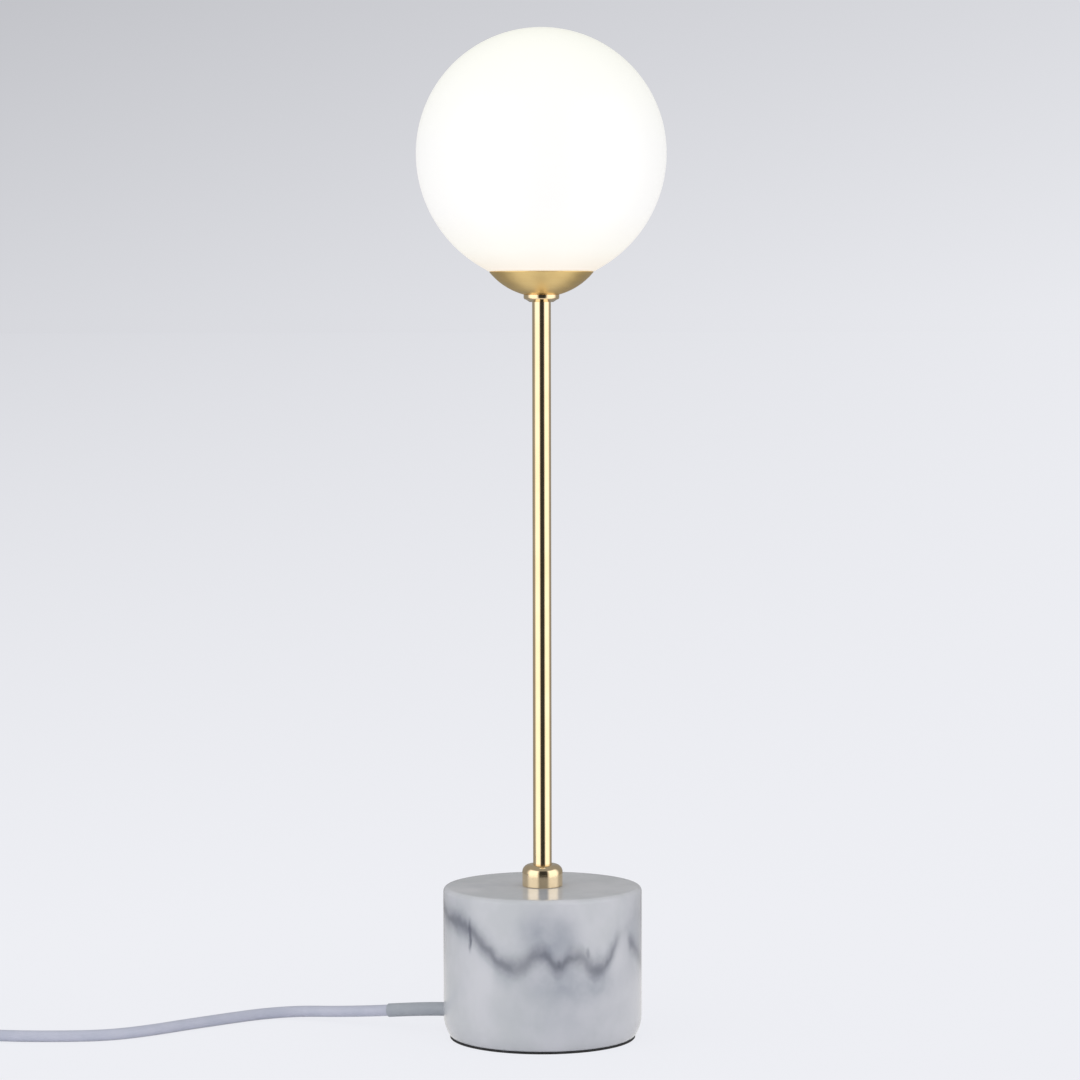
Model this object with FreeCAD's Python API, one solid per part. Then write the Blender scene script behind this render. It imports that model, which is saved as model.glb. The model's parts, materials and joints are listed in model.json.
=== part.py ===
"""Glass globe table lamp: an opal globe on a slim brass stem with a marble base.

Millimetres, +Z up. The origin is on the table, under the middle of the base.
The lamp's front faces -Y and the mains cord leaves the base at the back left.
"""

import FreeCAD
import Part
import math
import os

Vector = FreeCAD.Vector
UP = Vector(0, 0, 1)

# ---- Base ----
base_radius = 40.0
base_height = 60.4
top_edge_radius = 2.0
foot_ease_height = 9.0
foot_ease_inset = 2.4
foot_curve_inset_share = 0.25
foot_curve_height_share = 0.42
pad_thickness = 1.0
pad_setback = 0.2
recess_radius = 22.0
recess_depth = 20.0

# ---- Clamping hardware in the base ----
rod_radius = 5.0
rod_wall = 1.1
rod_tail = 2.0
thread_play = 0.05
base_bore_play = 0.4
clamp_plate_play = 2.0
clamp_plate_thickness = 1.5
lock_washer_thickness = 1.0
lock_washer_width = 3.5
lock_washer_teeth = 12
washer_notch_share = 0.45
base_nut_width = 14.0
base_nut_height = 4.0
nut_bevel_share = 0.18

# ---- Base collar ----
collar_radius = 8.15
collar_side_height = 5.8
collar_dome_height = 3.0
collar_lip = 0.9
collar_curve_reach_share = 0.72
collar_curve_height_share = 0.7
rod_engagement = 5.0

# ---- Stem ----
stem_radius = 3.75
stem_wall = 1.0
stem_length = 230.8
stem_socket_depth = 3.6

# ---- Neck ----
disc_radius = 7.15
disc_height = 3.0
disc_taper_height = 1.0
disc_edge_radius = 0.9
disc_lip = 1.0
nipple_radius = 4.0
nipple_bore = 2.05
nipple_spigot_length = 12.0

# ---- Cup and what it holds ----
cup_rim_radius = 21.03
cup_depth = 9.2
cup_wall = 0.8
cup_lock_washer_thickness = 0.6
cup_lock_washer_width = 2.6
cup_nut_width = 12.0
cup_nut_height = 2.6
carrier_plate_thickness = 1.2
carrier_flange_thickness = 0.7
carrier_collar_radius = 13.55
carrier_collar_wall = 1.25
cup_fit_gap = 0.2
seal_thickness = 0.7

# ---- Globe ----
globe_radius = 50.0
globe_wall = 2.5
globe_centre_above_rim = 46.9
globe_rim_gap = 0.15
neck_wall = 2.3
seal_gap = 0.1
thread_engagement = 4.35

# ---- Lampholder ----
bracket_thickness = 0.8
bracket_width = 12.4
bracket_span = 20.4
bracket_ear = 5.8
holder_nut_height = 2.5
nipple_end = 0.5
holder_clearance = 0.7
holder_radius = 9.5
holder_height = 14.0
holder_chamfer = 0.8
holder_screw_offset = 6.8
holder_screw_radius = 1.2
holder_screw_head_radius = 2.2
holder_screw_head_height = 1.6
holder_screw_tail = 0.4
screw_play = 0.1
screw_slot_depth_share = 0.4
screw_slot_width_share = 0.3
pin_slot_depth = 12.0
pin_slot_play = 0.45
contact_thickness = 0.6
contact_width = 3.0
contact_height = 10.0
contact_play = 0.05

# ---- Bulb: two looped wire pins on a capsule ----
bulb_pin_spacing = 9.0
bulb_pin_wire = 0.4
bulb_pin_loop = 1.6
bulb_pin_length = 11.5
bulb_pin_embed = 2.9
bulb_base_radius = 8.0
bulb_base_height = 12.0
bulb_base_edge = 1.2
bulb_seat_gap = 0.3
bulb_glass_radius = 8.2
bulb_glass_length = 36.0
bulb_glass_wall = 0.9
bulb_core_radius = 4.2
bulb_core_length = 27.0
bulb_core_cap_radius = 3.4
bulb_core_cap_height = 2.1

# ---- Cores: the cord's two insulated wires ----
core_radius = 0.95
core_spacing = 2.1
core_bend_radius = 5.0
core_entry = 0.8

# ---- Cord ----
cord_radius = 2.3
cord_play = 0.05
bend_share = 0.45
sleeve_radius = 2.85
sleeve_tip_radius = 2.75
sleeve_inner_reach = 27.0
sleeve_outer_reach = 67.5
sleeve_hole_play = 0.35
clamp_middle_reach = 16.0
clamp_thickness = 6.0
clamp_width = 17.0
clamp_below_cord = 4.0
clamp_screw_offset = 6.0
clamp_screw_radius = 1.4
clamp_screw_head_radius = 2.6
clamp_screw_head_height = 1.8

# From the clamp in the base, out of its side and down to the table, to the switch.
cord_lead_route = [
    (-11, 4, 8.6), (-44, 16, 8.6), (-78, 28.3, 4.8), (-108, 44.2, 2.3),
    (-138, 21, 2.3), (-165, -3.5, 2.3), (-184, -10.6, 2.3), (-224, -9.2, 2.3),
    (-246, -12, 6.0), (-264, -12, 6.0),
]
# From the switch to the first turn of the put-away coil.
cord_link_route = [(-316, -12, 6.0), (-330, -12, 6.0), (-344, -14, 3.3), (-358, -14, 3.3)]
# From the coil's last turn down to the plug.
cord_tail_route = [
    (-358, 50.66, 18.6), (-343, 51.02, 18.6), (-328, 52.2, 12.4), (-312, 53, 6.85),
    (-297, 53, 6.85),
]

# ---- Put-away coil ----
coil_middle = (-362.6, 17.0)
coil_start_angle = -90.0
coil_inner_radius = 20.8
coil_pitch = 5.1
coil_layers = 4
coil_turns_per_layer = 2
coil_quarters_more = 2
coil_lift = 1.0
coil_lead_in = 4.6

# ---- Tie round the coil ----
tie_thickness = 0.8
tie_width = 4.0
tie_gap = 0.3
tie_angle = 54.0
tie_head_length = 4.6
tie_head_width = 5.2
tie_head_height = 3.0
tie_tail_reach = 11.0
tie_tail_width = 3.4
tie_tail_thickness = 0.7

# ---- In-line switch ----
switch_middle = (-290.0, -12.0)
switch_length = 62.0
switch_width = 24.0
switch_height = 15.0
switch_corner = 6.0
switch_wall = 1.6
switch_edge = 1.0
switch_cord_height = 6.0
rocker_length = 20.0
rocker_width = 9.4
rocker_gap = 0.6
rocker_pivot_height = 10.5
rocker_tilt = 8.0
rocker_pin_radius = 1.0
rocker_pin_play = 0.05
rocker_ear_thickness = 1.8
rocker_ear_half_length = 3.0
rocker_ear_drop = 1.0
rocker_end_height = 5.6
rocker_dish_height = 4.5
rocker_side_height = 3.2
rocker_keel_depth = 1.6
rocker_keel_reach = 4.0
rocker_nose_depth = 4.2
rocker_nose_half = 1.2
bridge_length = 16.0
bridge_width = 4.0
bridge_thickness = 0.5
bridge_pad_inset = 1.5
bridge_pad_half = 1.2
bridge_pad_gap = 0.3
terminal_reach = 17.0
terminal_size = 5.0
terminal_height = 5.4
terminal_bar = 0.6
terminal_screw_radius = 1.2
terminal_screw_head_radius = 1.9
terminal_screw_head_height = 1.2
case_post_radius = 2.6
case_post_x = 7.4
case_post_y = 25.0
case_screw_radius = 1.1
case_screw_head_radius = 2.0
case_screw_head_height = 1.1
case_screw_seat = 1.3
case_screw_end_gap = 2.0
through_core_x = 8.4
through_core_lead = 3.0
through_core_swing = 10.0
through_core_bend_radius = 3.0
sheath_grip = 5.0
core_drop = 1.0

# ---- Plug ----
plug_width = 35.3
plug_thickness = 13.7
plug_face_length = 9.0
plug_length = 34.0
plug_neck_width = 13.0
plug_edge = 2.2
plug_boot_length = 8.0
plug_boot_radius = 4.6
plug_boot_tip_radius = 3.2
plug_pin_spacing = 19.0
plug_pin_radius = 2.0
plug_pin_length = 19.0
plug_pin_tip_radius = 0.9
plug_pin_sleeve_length = 10.0
plug_pin_sleeve_radius = 1.8
plug_pin_waist_radius = 1.3
plug_pin_root_radius = 1.5
plug_pin_depth = 9.0

# ---- Heights that follow from the sizes above ----
recess_top = pad_thickness + recess_depth
base_top = pad_thickness + base_height
plate_bottom = recess_top - clamp_plate_thickness
base_nut_top = plate_bottom - lock_washer_thickness
base_nut_bottom = base_nut_top - base_nut_height
rod_bottom = base_nut_bottom - rod_tail
rod_top = base_top + rod_engagement
collar_top = base_top + collar_side_height + collar_dome_height
stem_bottom = collar_top - stem_socket_depth
stem_top = stem_bottom + stem_length
disc_bottom = stem_top - disc_lip
cup_bottom = disc_bottom + disc_height
cup_rim = cup_bottom + cup_depth
cup_floor = cup_bottom + cup_wall
cup_nut_bottom = cup_floor + cup_lock_washer_thickness
carrier_bottom = cup_nut_bottom + cup_nut_height
carrier_top = carrier_bottom + carrier_plate_thickness
seal_bottom = carrier_top + carrier_flange_thickness
neck_bottom = seal_bottom + seal_thickness + seal_gap
carrier_collar_top = neck_bottom + thread_engagement
globe_bottom = cup_rim + globe_rim_gap
globe_centre = cup_rim + globe_centre_above_rim
holder_nut_bottom = carrier_top + bracket_thickness
nipple_top = holder_nut_bottom + holder_nut_height + nipple_end
holder_bottom = nipple_top + nipple_end + holder_clearance
holder_top = holder_bottom + holder_height
bulb_bottom = holder_top + bulb_seat_gap
switch_front = switch_middle[1] - switch_length / 2
core_height = switch_cord_height - core_drop

# ---- Radii that follow ----
rod_bore = rod_radius - rod_wall
stem_bore = stem_radius - stem_wall
neck_inner_radius = carrier_collar_radius + thread_play
neck_outer_radius = neck_inner_radius + neck_wall
coil_steps = 4 * coil_layers * coil_turns_per_layer
round_corner_share = 1 - math.sqrt(0.5)


# ---- Small helpers ----

def cylinder(radius, bottom, top, x=0.0, y=0.0):
    return Part.makeCylinder(radius, top - bottom, Vector(x, y, bottom))


def ring(outer, inner, bottom, top, x=0.0, y=0.0):
    return cylinder(outer, bottom, top, x, y).cut(cylinder(inner, bottom - 1, top + 1, x, y))


def block(low, high):
    size = [b - a for a, b in zip(low, high)]
    return Part.makeBox(*size, Vector(*low))


def fused(shapes):
    whole = shapes[0]
    for shape in shapes[1:]:
        whole = whole.fuse(shape)
    return whole.removeSplitter()


def group(shapes):
    return Part.makeCompound(shapes)


def spun(points, arcs=None):
    """Turns an outline of (radius, height) points round Z. arcs maps a side to its middle point."""
    arcs = arcs or {}
    corners = [Vector(r, 0, z) for r, z in points]
    edges = []
    for side, start in enumerate(corners):
        end = corners[(side + 1) % len(corners)]
        if side in arcs:
            r, z = arcs[side]
            edges.append(Part.Arc(start, Vector(r, 0, z), end).toShape())
        else:
            edges.append(Part.makeLine(start, end))
    return Part.Face(Part.Wire(edges)).revolve(Vector(0, 0, 0), UP, 360)


def hexagon(across_flats, bottom, top):
    radius = across_flats / math.sqrt(3)
    corners = [
        Vector(radius * math.cos(math.radians(60 * i)), radius * math.sin(math.radians(60 * i)), bottom)
        for i in range(7)
    ]
    return Part.Face(Part.makePolygon(corners)).extrude(Vector(0, 0, top - bottom))


def hex_nut(across_flats, bore_radius, bottom, top):
    """A hexagon nut with its corners turned off at both faces."""
    height = top - bottom
    bevel = height * nut_bevel_share
    corner = across_flats / math.sqrt(3)
    flat = across_flats / 2
    turned = spun([
        (0, bottom), (flat, bottom), (corner, bottom + bevel),
        (corner, top - bevel), (flat, top), (0, top),
    ])
    return hexagon(across_flats, bottom, top).common(turned).cut(cylinder(bore_radius, bottom - 1, top + 1))


def toothed_washer(inner, width, bottom, top):
    """A lock washer with notches round its edge."""
    washer = ring(inner + width, inner, bottom, top)
    notch = width * washer_notch_share
    for i in range(lock_washer_teeth):
        slot = block((inner + width - notch, -notch / 2, bottom - 1), (inner + width + 1, notch / 2, top + 1))
        slot.rotate(Vector(0, 0, 0), UP, 360 * i / lock_washer_teeth)
        washer = washer.cut(slot)
    return washer


def screw(x, y, tip, seat, shank_radius, head_radius, head_height, head_up=True):
    """A slotted screw along Z. seat is the face its head bears on."""
    sign = 1 if head_up else -1
    low, high = sorted((tip, seat))
    shank = cylinder(shank_radius, low, high, x, y)
    head_low, head_high = sorted((seat, seat + sign * head_height))
    head = cylinder(head_radius, head_low, head_high, x, y)
    slot_depth = head_height * screw_slot_depth_share
    slot_half = head_radius * screw_slot_width_share / 2
    slot_low, slot_high = sorted((seat + sign * (head_height - slot_depth), seat + sign * (head_height + 1)))
    slot = block((x - head_radius - 1, y - slot_half, slot_low), (x + head_radius + 1, y + slot_half, slot_high))
    return shank.fuse(head).removeSplitter().cut(slot)


def rounded_box(width, length, bottom, top, corner, middle):
    """A box with its upright edges rounded, centred on middle."""
    x, y = middle
    box = block((x - width / 2, y - length / 2, bottom), (x + width / 2, y + length / 2, top))
    upright = [e for e in box.Edges if abs(e.Vertexes[0].Z - e.Vertexes[1].Z) > (top - bottom) / 2]
    return box.makeFillet(corner, upright)


def laid_along_x(shape, place):
    """Turns a shape built along Y about the upright line through place: its -Y end comes to +X."""
    shape.rotate(Vector(place[0], place[1], 0), UP, 90)
    return shape


# ---- Cords ----

def bend_radii(points):
    """Each bend is as large as its two runs allow."""
    radii = []
    for before, here, after in zip(points, points[1:], points[2:]):
        first, second = here - before, after - here
        half_turn = first.getAngle(second) / 2
        radii.append(bend_share * min(first.Length, second.Length) / math.tan(half_turn))
    return radii


def rounded_path(points, radii):
    """Straight runs joined by arcs that touch them."""
    edges = []
    start = points[0]
    for before, here, after, radius in zip(points, points[1:], points[2:], radii):
        back = (before - here).normalize()
        ahead = (after - here).normalize()
        half_turn = (math.pi - back.getAngle(ahead)) / 2
        inset = radius * math.tan(half_turn)
        arc_start, arc_end = here + back * inset, here + ahead * inset
        middle_way = (back + ahead).normalize()
        middle = here + middle_way * (radius / math.cos(half_turn) - radius)
        edges.append(Part.makeLine(start, arc_start))
        edges.append(Part.Arc(arc_start, middle, arc_end).toShape())
        start = arc_end
    edges.append(Part.makeLine(start, points[-1]))
    return Part.Wire(edges)


def pipe(path, radius):
    first = path.Edges[0]
    start = first.valueAt(first.FirstParameter)
    along = first.tangentAt(first.FirstParameter)
    profile = Part.Wire([Part.makeCircle(radius, start, along)])
    return path.makePipeShell([profile], True, False)


def report_pipe(name, path, radius, solid, radii=()):
    expected = math.pi * radius**2 * path.Length
    bends = ", ".join(f"{r:.1f}" for r in radii)
    print(f"{name}: length {path.Length:.1f}, volume {solid.Volume / expected:.4f} of section x length")
    if bends:
        print(f"  bend radii {bends}; tightest {min(radii) / (2 * radius):.1f} diameters")


def cord_stretch(name, route):
    points = [Vector(*p) for p in route]
    radii = bend_radii(points)
    path = rounded_path(points, radii)
    solid = pipe(path, cord_radius)
    report_pipe(name, path, cord_radius, solid, radii)
    return solid


def coil_point(step):
    """A quarter turn of the coil, and the way it heads: piled spirals, in and out by turns."""
    steps_per_layer = 4 * coil_turns_per_layer
    layer, along = divmod(step, steps_per_layer)
    if layer == coil_layers:
        layer, along = coil_layers - 1, along + steps_per_layer
    inward = layer % 2 == 0
    run = along if inward else steps_per_layer - along
    reach = coil_pitch * (coil_turns_per_layer - run / 4)
    radius = coil_inner_radius + reach
    reverses = along == 0 and 0 < step < coil_steps
    rise = layer - (0.5 if reverses else 0)
    angle = math.radians(coil_start_angle - 90 * step)
    slope = 0.0 if along == 0 else (-1 if inward else 1) * coil_pitch / (2 * math.pi)
    lift = coil_pitch / math.pi if reverses else 0.0
    place = Vector(
        coil_middle[0] + radius * math.cos(angle),
        coil_middle[1] + radius * math.sin(angle),
        cord_radius + coil_lift + coil_pitch * rise,
    )
    heading = Vector(
        slope * math.cos(angle) + radius * math.sin(angle),
        slope * math.sin(angle) - radius * math.cos(angle),
        lift,
    )
    return place, heading.normalize()


def arc_from(start, heading, end):
    """The arc that leaves start along heading and reaches end."""
    chord = end - start
    turn = heading.getAngle(chord)
    if turn < 1e-6:
        return Part.makeLine(start, end)
    sideways = (heading - chord * (heading.dot(chord) / chord.dot(chord))).normalize()
    middle = (start + end) * 0.5 + sideways * (chord.Length / 2 * math.tan(turn / 2))
    return Part.Arc(start, middle, end).toShape()


def biarc(start, heading, end, end_heading):
    """Two arcs that meet smoothly and carry one heading into the other."""
    across = end - start
    both = heading + end_heading
    lean = 2 * (1 - heading.dot(end_heading))
    part = across.dot(both)
    if lean < 1e-9:
        reach = across.dot(across) / (2 * part)
    else:
        reach = (-part + math.sqrt(part**2 + lean * across.dot(across))) / lean
    meeting = (start + end + (heading - end_heading) * reach) * 0.5
    first = arc_from(start, heading, meeting)
    second = arc_from(meeting, first.tangentAt(first.LastParameter), end)
    return [first, second]


def coil_path():
    last_step = coil_steps + coil_quarters_more
    stations = [coil_point(step) for step in range(last_step + 1)]
    edges = []
    start, heading = stations[0]
    edges.append(Part.makeLine(start - heading * coil_lead_in, start))
    for (start, heading), (end, end_heading) in zip(stations, stations[1:]):
        edges += biarc(start, heading, end, end_heading)
    end, heading = stations[-1]
    edges.append(Part.makeLine(end, end + heading * coil_lead_in))
    return Part.Wire(edges)


def least_gap(path, radius):
    """The least clear space between one turn and any other, measured on points."""
    points = path.discretize(Distance=2.0)
    skip = int(3 * math.pi * radius / 2.0) + 1
    nearest = min(
        (points[i] - points[j]).Length
        for i in range(len(points))
        for j in range(i + skip, len(points))
    )
    return nearest - 2 * radius


def cord_coil():
    path = coil_path()
    solid = pipe(path, cord_radius)
    report_pipe("cord_coil", path, cord_radius, solid)
    print(f"  least gap to itself {least_gap(path, cord_radius):.2f}")
    print(f"  starts {path.Vertexes[0].Point}, ends {path.Vertexes[-1].Point}")
    return solid


def cord_tie():
    """A flat strap closed round the coil's bundle, with its locking head on top."""
    along_turn = ((coil_start_angle - tie_angle) / 360) % 1
    inner_reach = coil_pitch * min(along_turn, 1 - along_turn)
    outer_reach = coil_pitch * (coil_turns_per_layer - 1 + max(along_turn, 1 - along_turn))
    middle_radius = coil_inner_radius + (inner_reach + outer_reach) / 2
    half_radial = (outer_reach - inner_reach) / 2 + cord_radius + tie_gap
    low = coil_lift - tie_gap
    high = coil_lift + 2 * cord_radius + coil_pitch * (coil_layers - 1) + tie_gap
    outer = block((middle_radius - half_radial - tie_thickness, -tie_width / 2, low - tie_thickness),
                  (middle_radius + half_radial + tie_thickness, tie_width / 2, high + tie_thickness))
    inner = block((middle_radius - half_radial, -tie_width, low), (middle_radius + half_radial, tie_width, high))
    along = [e for e in outer.Edges if abs(e.Vertexes[0].Y - e.Vertexes[1].Y) > tie_width / 2]
    along_inner = [e for e in inner.Edges if abs(e.Vertexes[0].Y - e.Vertexes[1].Y) > tie_width]
    strap = outer.makeFillet(cord_radius + tie_thickness, along).cut(inner.makeFillet(cord_radius, along_inner))
    strap_top = high + tie_thickness
    head = block((middle_radius - tie_head_length / 2, -tie_head_width / 2, high + tie_thickness / 2),
                 (middle_radius + tie_head_length / 2, tie_head_width / 2, strap_top + tie_head_height))
    tail_low = strap_top + tie_head_height / 3
    tail = block((middle_radius, -tie_tail_width / 2, tail_low),
                 (middle_radius + tie_tail_reach, tie_tail_width / 2, tail_low + tie_tail_thickness))
    tie = fused([strap, head, tail])
    tie.rotate(Vector(0, 0, 0), UP, tie_angle)
    tie.translate(Vector(*coil_middle, 0))
    return tie


# ---- Base ----

cord_start, cord_bend = (Vector(*p) for p in cord_lead_route[:2])
exit_way = (cord_bend - cord_start).normalize()
exit_height = cord_start.z
side_way = UP.cross(exit_way)


def on_exit_line(reach):
    """The point of the cord's straight way out at this distance from the lamp's axis."""
    axis_point = Vector(0, 0, exit_height)
    return axis_point + exit_way * reach


def turned_to_exit(shape):
    """Turns a shape built along +X so that it lies along the cord's way out."""
    shape.rotate(Vector(0, 0, 0), UP, math.degrees(math.atan2(exit_way.y, exit_way.x)))
    return shape


def marble_base():
    r, foot = base_radius, base_radius - foot_ease_inset
    edge = top_edge_radius * round_corner_share
    ease = foot_ease_inset * foot_curve_inset_share
    stone = spun(
        [(0, pad_thickness), (foot, pad_thickness), (r, pad_thickness + foot_ease_height),
         (r, base_top - top_edge_radius), (r - top_edge_radius, base_top), (0, base_top)],
        {1: (r - ease, pad_thickness + foot_ease_height * foot_curve_height_share), 3: (r - edge, base_top - edge)},
    )
    stone = stone.cut(cylinder(recess_radius, pad_thickness - 1, recess_top))
    stone = stone.cut(cylinder(rod_radius + base_bore_play, 0, base_top + 1))
    hole = Part.makeCylinder(sleeve_radius + sleeve_hole_play, base_radius, Vector(0, 0, exit_height), exit_way)
    hole.translate(exit_way * (recess_radius / 2))
    return stone.cut(hole)


def base_pad():
    return cylinder(base_radius - foot_ease_inset - pad_setback, 0, pad_thickness)


def clamp_plate():
    plate = ring(recess_radius - clamp_plate_play, rod_radius + thread_play, plate_bottom, recess_top)
    for side in (-1, 1):
        hole = cylinder(clamp_screw_radius + thread_play, plate_bottom - 1, recess_top + 1,
                        clamp_middle_reach, side * clamp_screw_offset)
        plate = plate.cut(turned_to_exit(hole))
    return plate


def cord_clamp():
    """A block that grips the cord's sheath, screwed up under the clamping plate."""
    reach, half = clamp_middle_reach, clamp_thickness / 2
    low = exit_height - clamp_below_cord
    body = block((reach - half, -clamp_width / 2, low), (reach + half, clamp_width / 2, plate_bottom))
    bore = Part.makeCylinder(cord_radius + cord_play, clamp_thickness + 2,
                             Vector(reach - half - 1, 0, exit_height), Vector(1, 0, 0))
    body = body.cut(bore)
    for side in (-1, 1):
        body = body.cut(cylinder(clamp_screw_radius + screw_play, low - 1, plate_bottom + 1,
                                 reach, side * clamp_screw_offset))
    return turned_to_exit(body)


def cord_clamp_screws():
    seat = exit_height - clamp_below_cord
    return turned_to_exit(group([
        screw(clamp_middle_reach, side * clamp_screw_offset, recess_top, seat, clamp_screw_radius,
              clamp_screw_head_radius, clamp_screw_head_height, head_up=False)
        for side in (-1, 1)
    ]))


def base_collar():
    """The turned brass collar: straight side, domed shoulder, bored for the stem and the rod."""
    side_top = base_top + collar_side_height
    neck = stem_radius + collar_lip
    spread = collar_radius - neck
    collar = spun(
        [(0, base_top), (collar_radius, base_top), (collar_radius, side_top), (neck, collar_top), (0, collar_top)],
        {2: (neck + spread * collar_curve_reach_share, side_top + collar_dome_height * collar_curve_height_share)},
    )
    collar = collar.cut(cylinder(rod_radius + thread_play, base_top - 1, stem_bottom))
    return collar.cut(cylinder(stem_radius + thread_play, stem_bottom - 1, collar_top + 1))


# ---- Stem and neck ----

def stem_nipple():
    """Pushed into the stem below, threaded above to clamp the cup and the carrier."""
    spigot = cylinder(stem_bore - thread_play, stem_top - nipple_spigot_length, stem_top)
    threaded = cylinder(nipple_radius, stem_top, nipple_top)
    bore = cylinder(nipple_bore, stem_top - nipple_spigot_length - 1, nipple_top + 1)
    return spigot.fuse(threaded).removeSplitter().cut(bore)


def neck_disc():
    """The polished flange between stem and cup, hollowed a little underneath."""
    edge = disc_edge_radius
    soft = edge * round_corner_share
    rim_low = disc_bottom + disc_taper_height
    disc = spun(
        [(0, disc_bottom), (stem_radius + disc_lip, disc_bottom), (disc_radius - edge, rim_low),
         (disc_radius, rim_low + edge), (disc_radius, cup_bottom), (0, cup_bottom)],
        {2: (disc_radius - soft, rim_low + soft)},
    )
    disc = disc.cut(cylinder(nipple_radius + thread_play, stem_top, cup_bottom + 1))
    return disc.cut(cylinder(stem_radius + thread_play, disc_bottom - 1, stem_top))


# ---- Cup and carrier ----

cup_flat_radius = disc_radius
cup_ball_height = (cup_rim_radius**2 - cup_flat_radius**2 + cup_depth**2) / (2 * cup_depth)
cup_ball_radius = math.hypot(cup_flat_radius, cup_ball_height)
cup_ball_centre = cup_bottom + cup_ball_height


def cup_inner_radius(height):
    ball = cup_ball_radius - cup_wall
    return math.sqrt(ball**2 - (cup_ball_centre - height) ** 2)


def cup_arc_point(ball, low, high):
    """A point half way along the cup's wall between two heights."""
    height = (low + high) / 2
    return math.sqrt(ball**2 - (cup_ball_centre - height) ** 2), height


def globe_cup():
    inner_ball = cup_ball_radius - cup_wall
    floor_radius = cup_inner_radius(cup_floor)
    cup = spun(
        [(0, cup_bottom), (cup_flat_radius, cup_bottom), (cup_rim_radius, cup_rim),
         (cup_inner_radius(cup_rim), cup_rim), (floor_radius, cup_floor), (0, cup_floor)],
        {1: cup_arc_point(cup_ball_radius, cup_bottom, cup_rim),
         3: cup_arc_point(inner_ball, cup_floor, cup_rim)},
    )
    return cup.cut(cylinder(nipple_radius + thread_play, cup_bottom - 1, cup_floor + 1))


carrier_plate_radius = cup_inner_radius(carrier_bottom) - cup_fit_gap
carrier_flange_radius = cup_inner_radius(carrier_top) - cup_fit_gap


def globe_carrier():
    """The threaded ring that the globe screws on to, with a flange for its seal."""
    bore = nipple_radius + thread_play
    collar_bore = carrier_collar_radius - carrier_collar_wall
    return spun([
        (bore, carrier_bottom), (carrier_plate_radius, carrier_bottom), (carrier_plate_radius, carrier_top),
        (carrier_flange_radius, carrier_top), (carrier_flange_radius, seal_bottom),
        (carrier_collar_radius, seal_bottom), (carrier_collar_radius, carrier_collar_top),
        (collar_bore, carrier_collar_top), (collar_bore, carrier_top), (bore, carrier_top),
    ])


def globe_seal():
    return ring(carrier_flange_radius - cup_fit_gap, neck_inner_radius + thread_play,
                seal_bottom, seal_bottom + seal_thickness)


# ---- Globe ----

def globe():
    """Blown opal glass: round above, a little fuller below, with a short threaded neck."""
    drop = globe_centre - globe_bottom
    rise_in = globe_radius - cup_rim_radius
    lower_radius = (drop**2 + rise_in**2) / (2 * rise_in)
    lower_middle = globe_radius - lower_radius
    shelf = globe_bottom + globe_wall
    inner_low = lower_radius - globe_wall
    shelf_radius = lower_middle + math.sqrt(inner_low**2 - (globe_centre - shelf) ** 2)
    inner_top = globe_radius - globe_wall
    slant = math.sqrt(0.5)

    def lower_arc_point(ball, end_height):
        height = (globe_centre + end_height) / 2
        return lower_middle + math.sqrt(ball**2 - (globe_centre - height) ** 2), height

    return spun(
        [(neck_inner_radius, neck_bottom), (neck_outer_radius, neck_bottom), (neck_outer_radius, globe_bottom),
         (cup_rim_radius, globe_bottom), (globe_radius, globe_centre), (0, globe_centre + globe_radius),
         (0, globe_centre + inner_top), (inner_top, globe_centre), (shelf_radius, shelf),
         (neck_inner_radius, shelf)],
        {3: lower_arc_point(lower_radius, globe_bottom),
         4: (globe_radius * slant, globe_centre + globe_radius * slant),
         6: (inner_top * slant, globe_centre + inner_top * slant),
         7: lower_arc_point(inner_low, shelf)},
    )


# ---- Lampholder, built along X and then turned across the cord's way out ----

def turned_to_cores(shape):
    shape.rotate(Vector(0, 0, 0), UP, math.degrees(math.atan2(side_way.y, side_way.x)))
    return shape


def holder_bracket():
    """A strap bent up on both sides, with ears that the lampholder sits on."""
    half_width, half_span, t = bracket_width / 2, bracket_span / 2, bracket_thickness
    strap = block((-half_width, -half_span, carrier_top), (half_width, half_span, carrier_top + t))
    parts = [strap.cut(cylinder(nipple_radius + thread_play, carrier_top - 1, carrier_top + t + 1))]
    for side in (-1, 1):
        outer, inner = side * half_span, side * (half_span - t)
        y_low, y_high = sorted((outer, inner))
        parts.append(block((-half_width, y_low, carrier_top), (half_width, y_high, holder_bottom)))
        y_low, y_high = sorted((outer, side * (half_span - bracket_ear)))
        ear = block((-half_width, y_low, holder_bottom - t), (half_width, y_high, holder_bottom))
        hole = cylinder(holder_screw_radius + thread_play, holder_bottom - t - 1, holder_bottom + 1,
                        0, side * holder_screw_offset)
        parts.append(ear.cut(hole))
    return turned_to_cores(fused(parts))


contact_x = bulb_pin_spacing / 2 + bulb_pin_wire + pin_slot_play + contact_play
contact_foot_top = holder_bottom + core_entry + contact_thickness


def contact_shape(side, play=0.0):
    """An L of spring brass: a foot over the core's end and a leaf beside the bulb's pin."""
    t, half = contact_thickness, contact_width / 2
    foot_start = core_spacing / 2 - core_radius / 2
    foot = block((foot_start - play, -half - play, holder_bottom + core_entry - play),
                 (contact_x + t + play, half + play, contact_foot_top + play))
    leaf = block((contact_x - play, -half - play, holder_bottom + core_entry - play),
                 (contact_x + t + play, half + play, holder_bottom + core_entry + contact_height + play))
    contact = foot.fuse(leaf).removeSplitter()
    if side < 0:
        contact.rotate(Vector(0, 0, 0), UP, 180)
    return contact


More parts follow.
